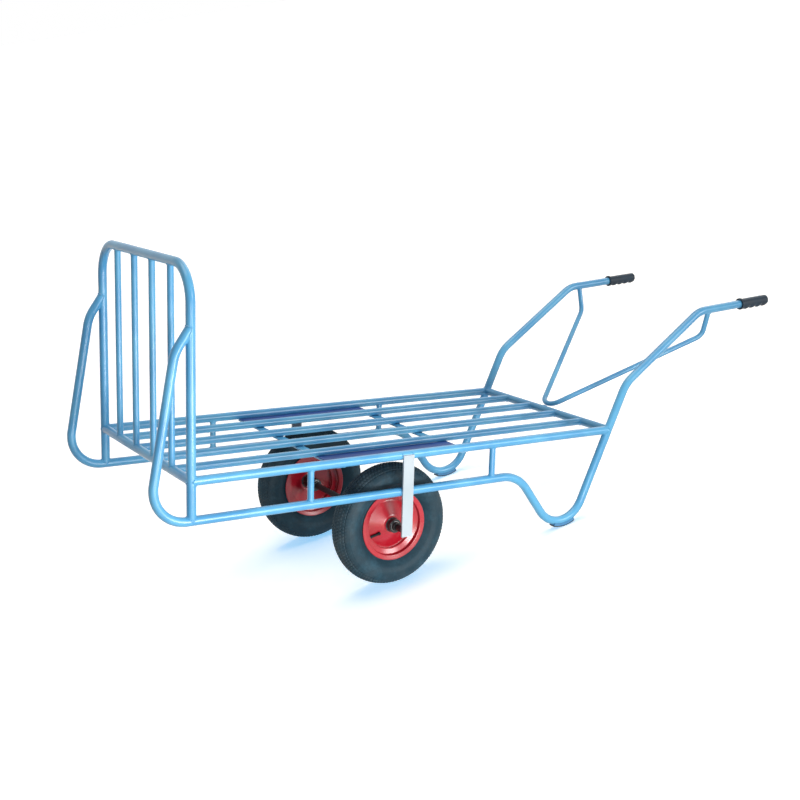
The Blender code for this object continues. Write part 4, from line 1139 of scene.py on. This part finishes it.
def make_studio():
    """White floor that keeps a pale blue shadow, white surroundings, far lamps and near soft boxes.

    To the camera the floor is paper plus a glow, which together make white where nothing keeps light away.
    """
    bpy.ops.mesh.primitive_plane_add(size=400, location=(0, 0, -0.0005))
    floor = bpy.context.object
    floor.name = "floor"
    material = bpy.data.materials.new("white_floor")
    material.use_nodes = True
    tree = material.node_tree
    tree.nodes.remove(tree.nodes["Principled BSDF"])
    open_light = SURROUNDINGS + sum(light * unit(np.array(way))[2] for _, way, _, light, _ in FAR_LAMPS)
    paper = node(tree, "ShaderNodeBsdfDiffuse", {"Color": (0.3, 0.3, 0.3, 1)}).outputs[0]
    tinted = node(tree, "ShaderNodeBsdfDiffuse", {"Color": (*(SHADOW_SHARE / open_light), 1)}).outputs[0]
    glow = node(tree, "ShaderNodeEmission", {"Color": (*(FLOOR_WHITE - SHADOW_SHARE), 1)}).outputs[0]
    shown = node(tree, "ShaderNodeAddShader", {0: tinted, 1: glow}).outputs[0]
    surface = by_ray(tree, paper, shown)
    tree.links.new(surface, tree.nodes["Material Output"].inputs["Surface"])
    floor.data.materials.append(material)
    world = bpy.data.worlds.new("studio")
    bpy.context.scene.world = world
    world.use_nodes = True
    tree = world.node_tree
    soft = tree.nodes["Background"]
    soft.inputs["Color"].default_value = (1, 1, 1, 1)
    soft.inputs["Strength"].default_value = SURROUNDINGS
    white = node(tree, "ShaderNodeBackground", {"Color": (1, 1, 1, 1), "Strength": 1.0}).outputs[0]
    seen = by_ray(tree, soft.outputs[0], white)
    tree.links.new(seen, tree.nodes["World Output"].inputs["Surface"])
    for name, way, width, light, glossy in FAR_LAMPS:
        data = bpy.data.lights.new(name, "SUN")
        data.angle = math.radians(width)
        data.energy = light * math.pi
        hang_lamp(data, Vector(way) * 5, -Vector(way), glossy)
    for name, place, size, watts, aim in SOFT_BOXES:
        data = bpy.data.lights.new(name, "AREA")
        data.shape = "RECTANGLE"
        data.size, data.size_y = size
        data.energy = watts
        hang_lamp(data, place, Vector(aim) - Vector(place))


def hang_lamp(data, place, way, glossy=True):
    """Hangs a lamp at a place so that it shines a way."""
    lamp = new_object(data.name, data)
    lamp.visible_glossy = glossy
    lamp.location = place
    lamp.rotation_euler = way.to_track_quat("-Z", "Y").to_euler()


def make_camera():
    """Camera at the photograph's viewing angle, worked out in the deck's frame."""
    yaw, pitch, roll, distance = -0.5576055, 0.2072716, 0.0292630, 4.317544
    slide_right, slide_up = 0.2676741, 0.1115501
    focal_pixels, frame_pixels, sensor = 1312.764, 800, 36
    aim = np.array([0.6, 0, 0])
    back = np.array([math.sin(yaw) * math.cos(pitch), -math.cos(yaw) * math.cos(pitch), math.sin(pitch)])
    level = np.array([math.cos(yaw), math.sin(yaw), 0])
    rise = np.cross(back, level)
    right = math.cos(roll) * level + math.sin(roll) * rise
    up = -math.sin(roll) * level + math.cos(roll) * rise
    place = to_world(aim + back * distance + right * slide_right + up * slide_up)
    matrix = np.eye(4)
    matrix[:3, :3] = TURN @ np.stack([right, up, back], -1)
    matrix[:3, 3] = place
    data = bpy.data.cameras.new("camera")
    data.sensor_width = sensor
    data.lens = focal_pixels * sensor / frame_pixels
    camera = new_object("camera", data)
    camera.matrix_world = Matrix(matrix)
    bpy.context.scene.camera = camera


make_camera()
make_frame_tubes()
make_welds()
make_axle()
for label, side in SIDES:
    for make in (make_grip, make_shoe, make_tyre, make_rim, make_disc, make_hub, make_bearings, make_valve):
        make(label, side)
make_flat_bars()
dress_inner_tubes()
make_studio()
bpy.context.scene.view_settings.view_transform = "Standard"
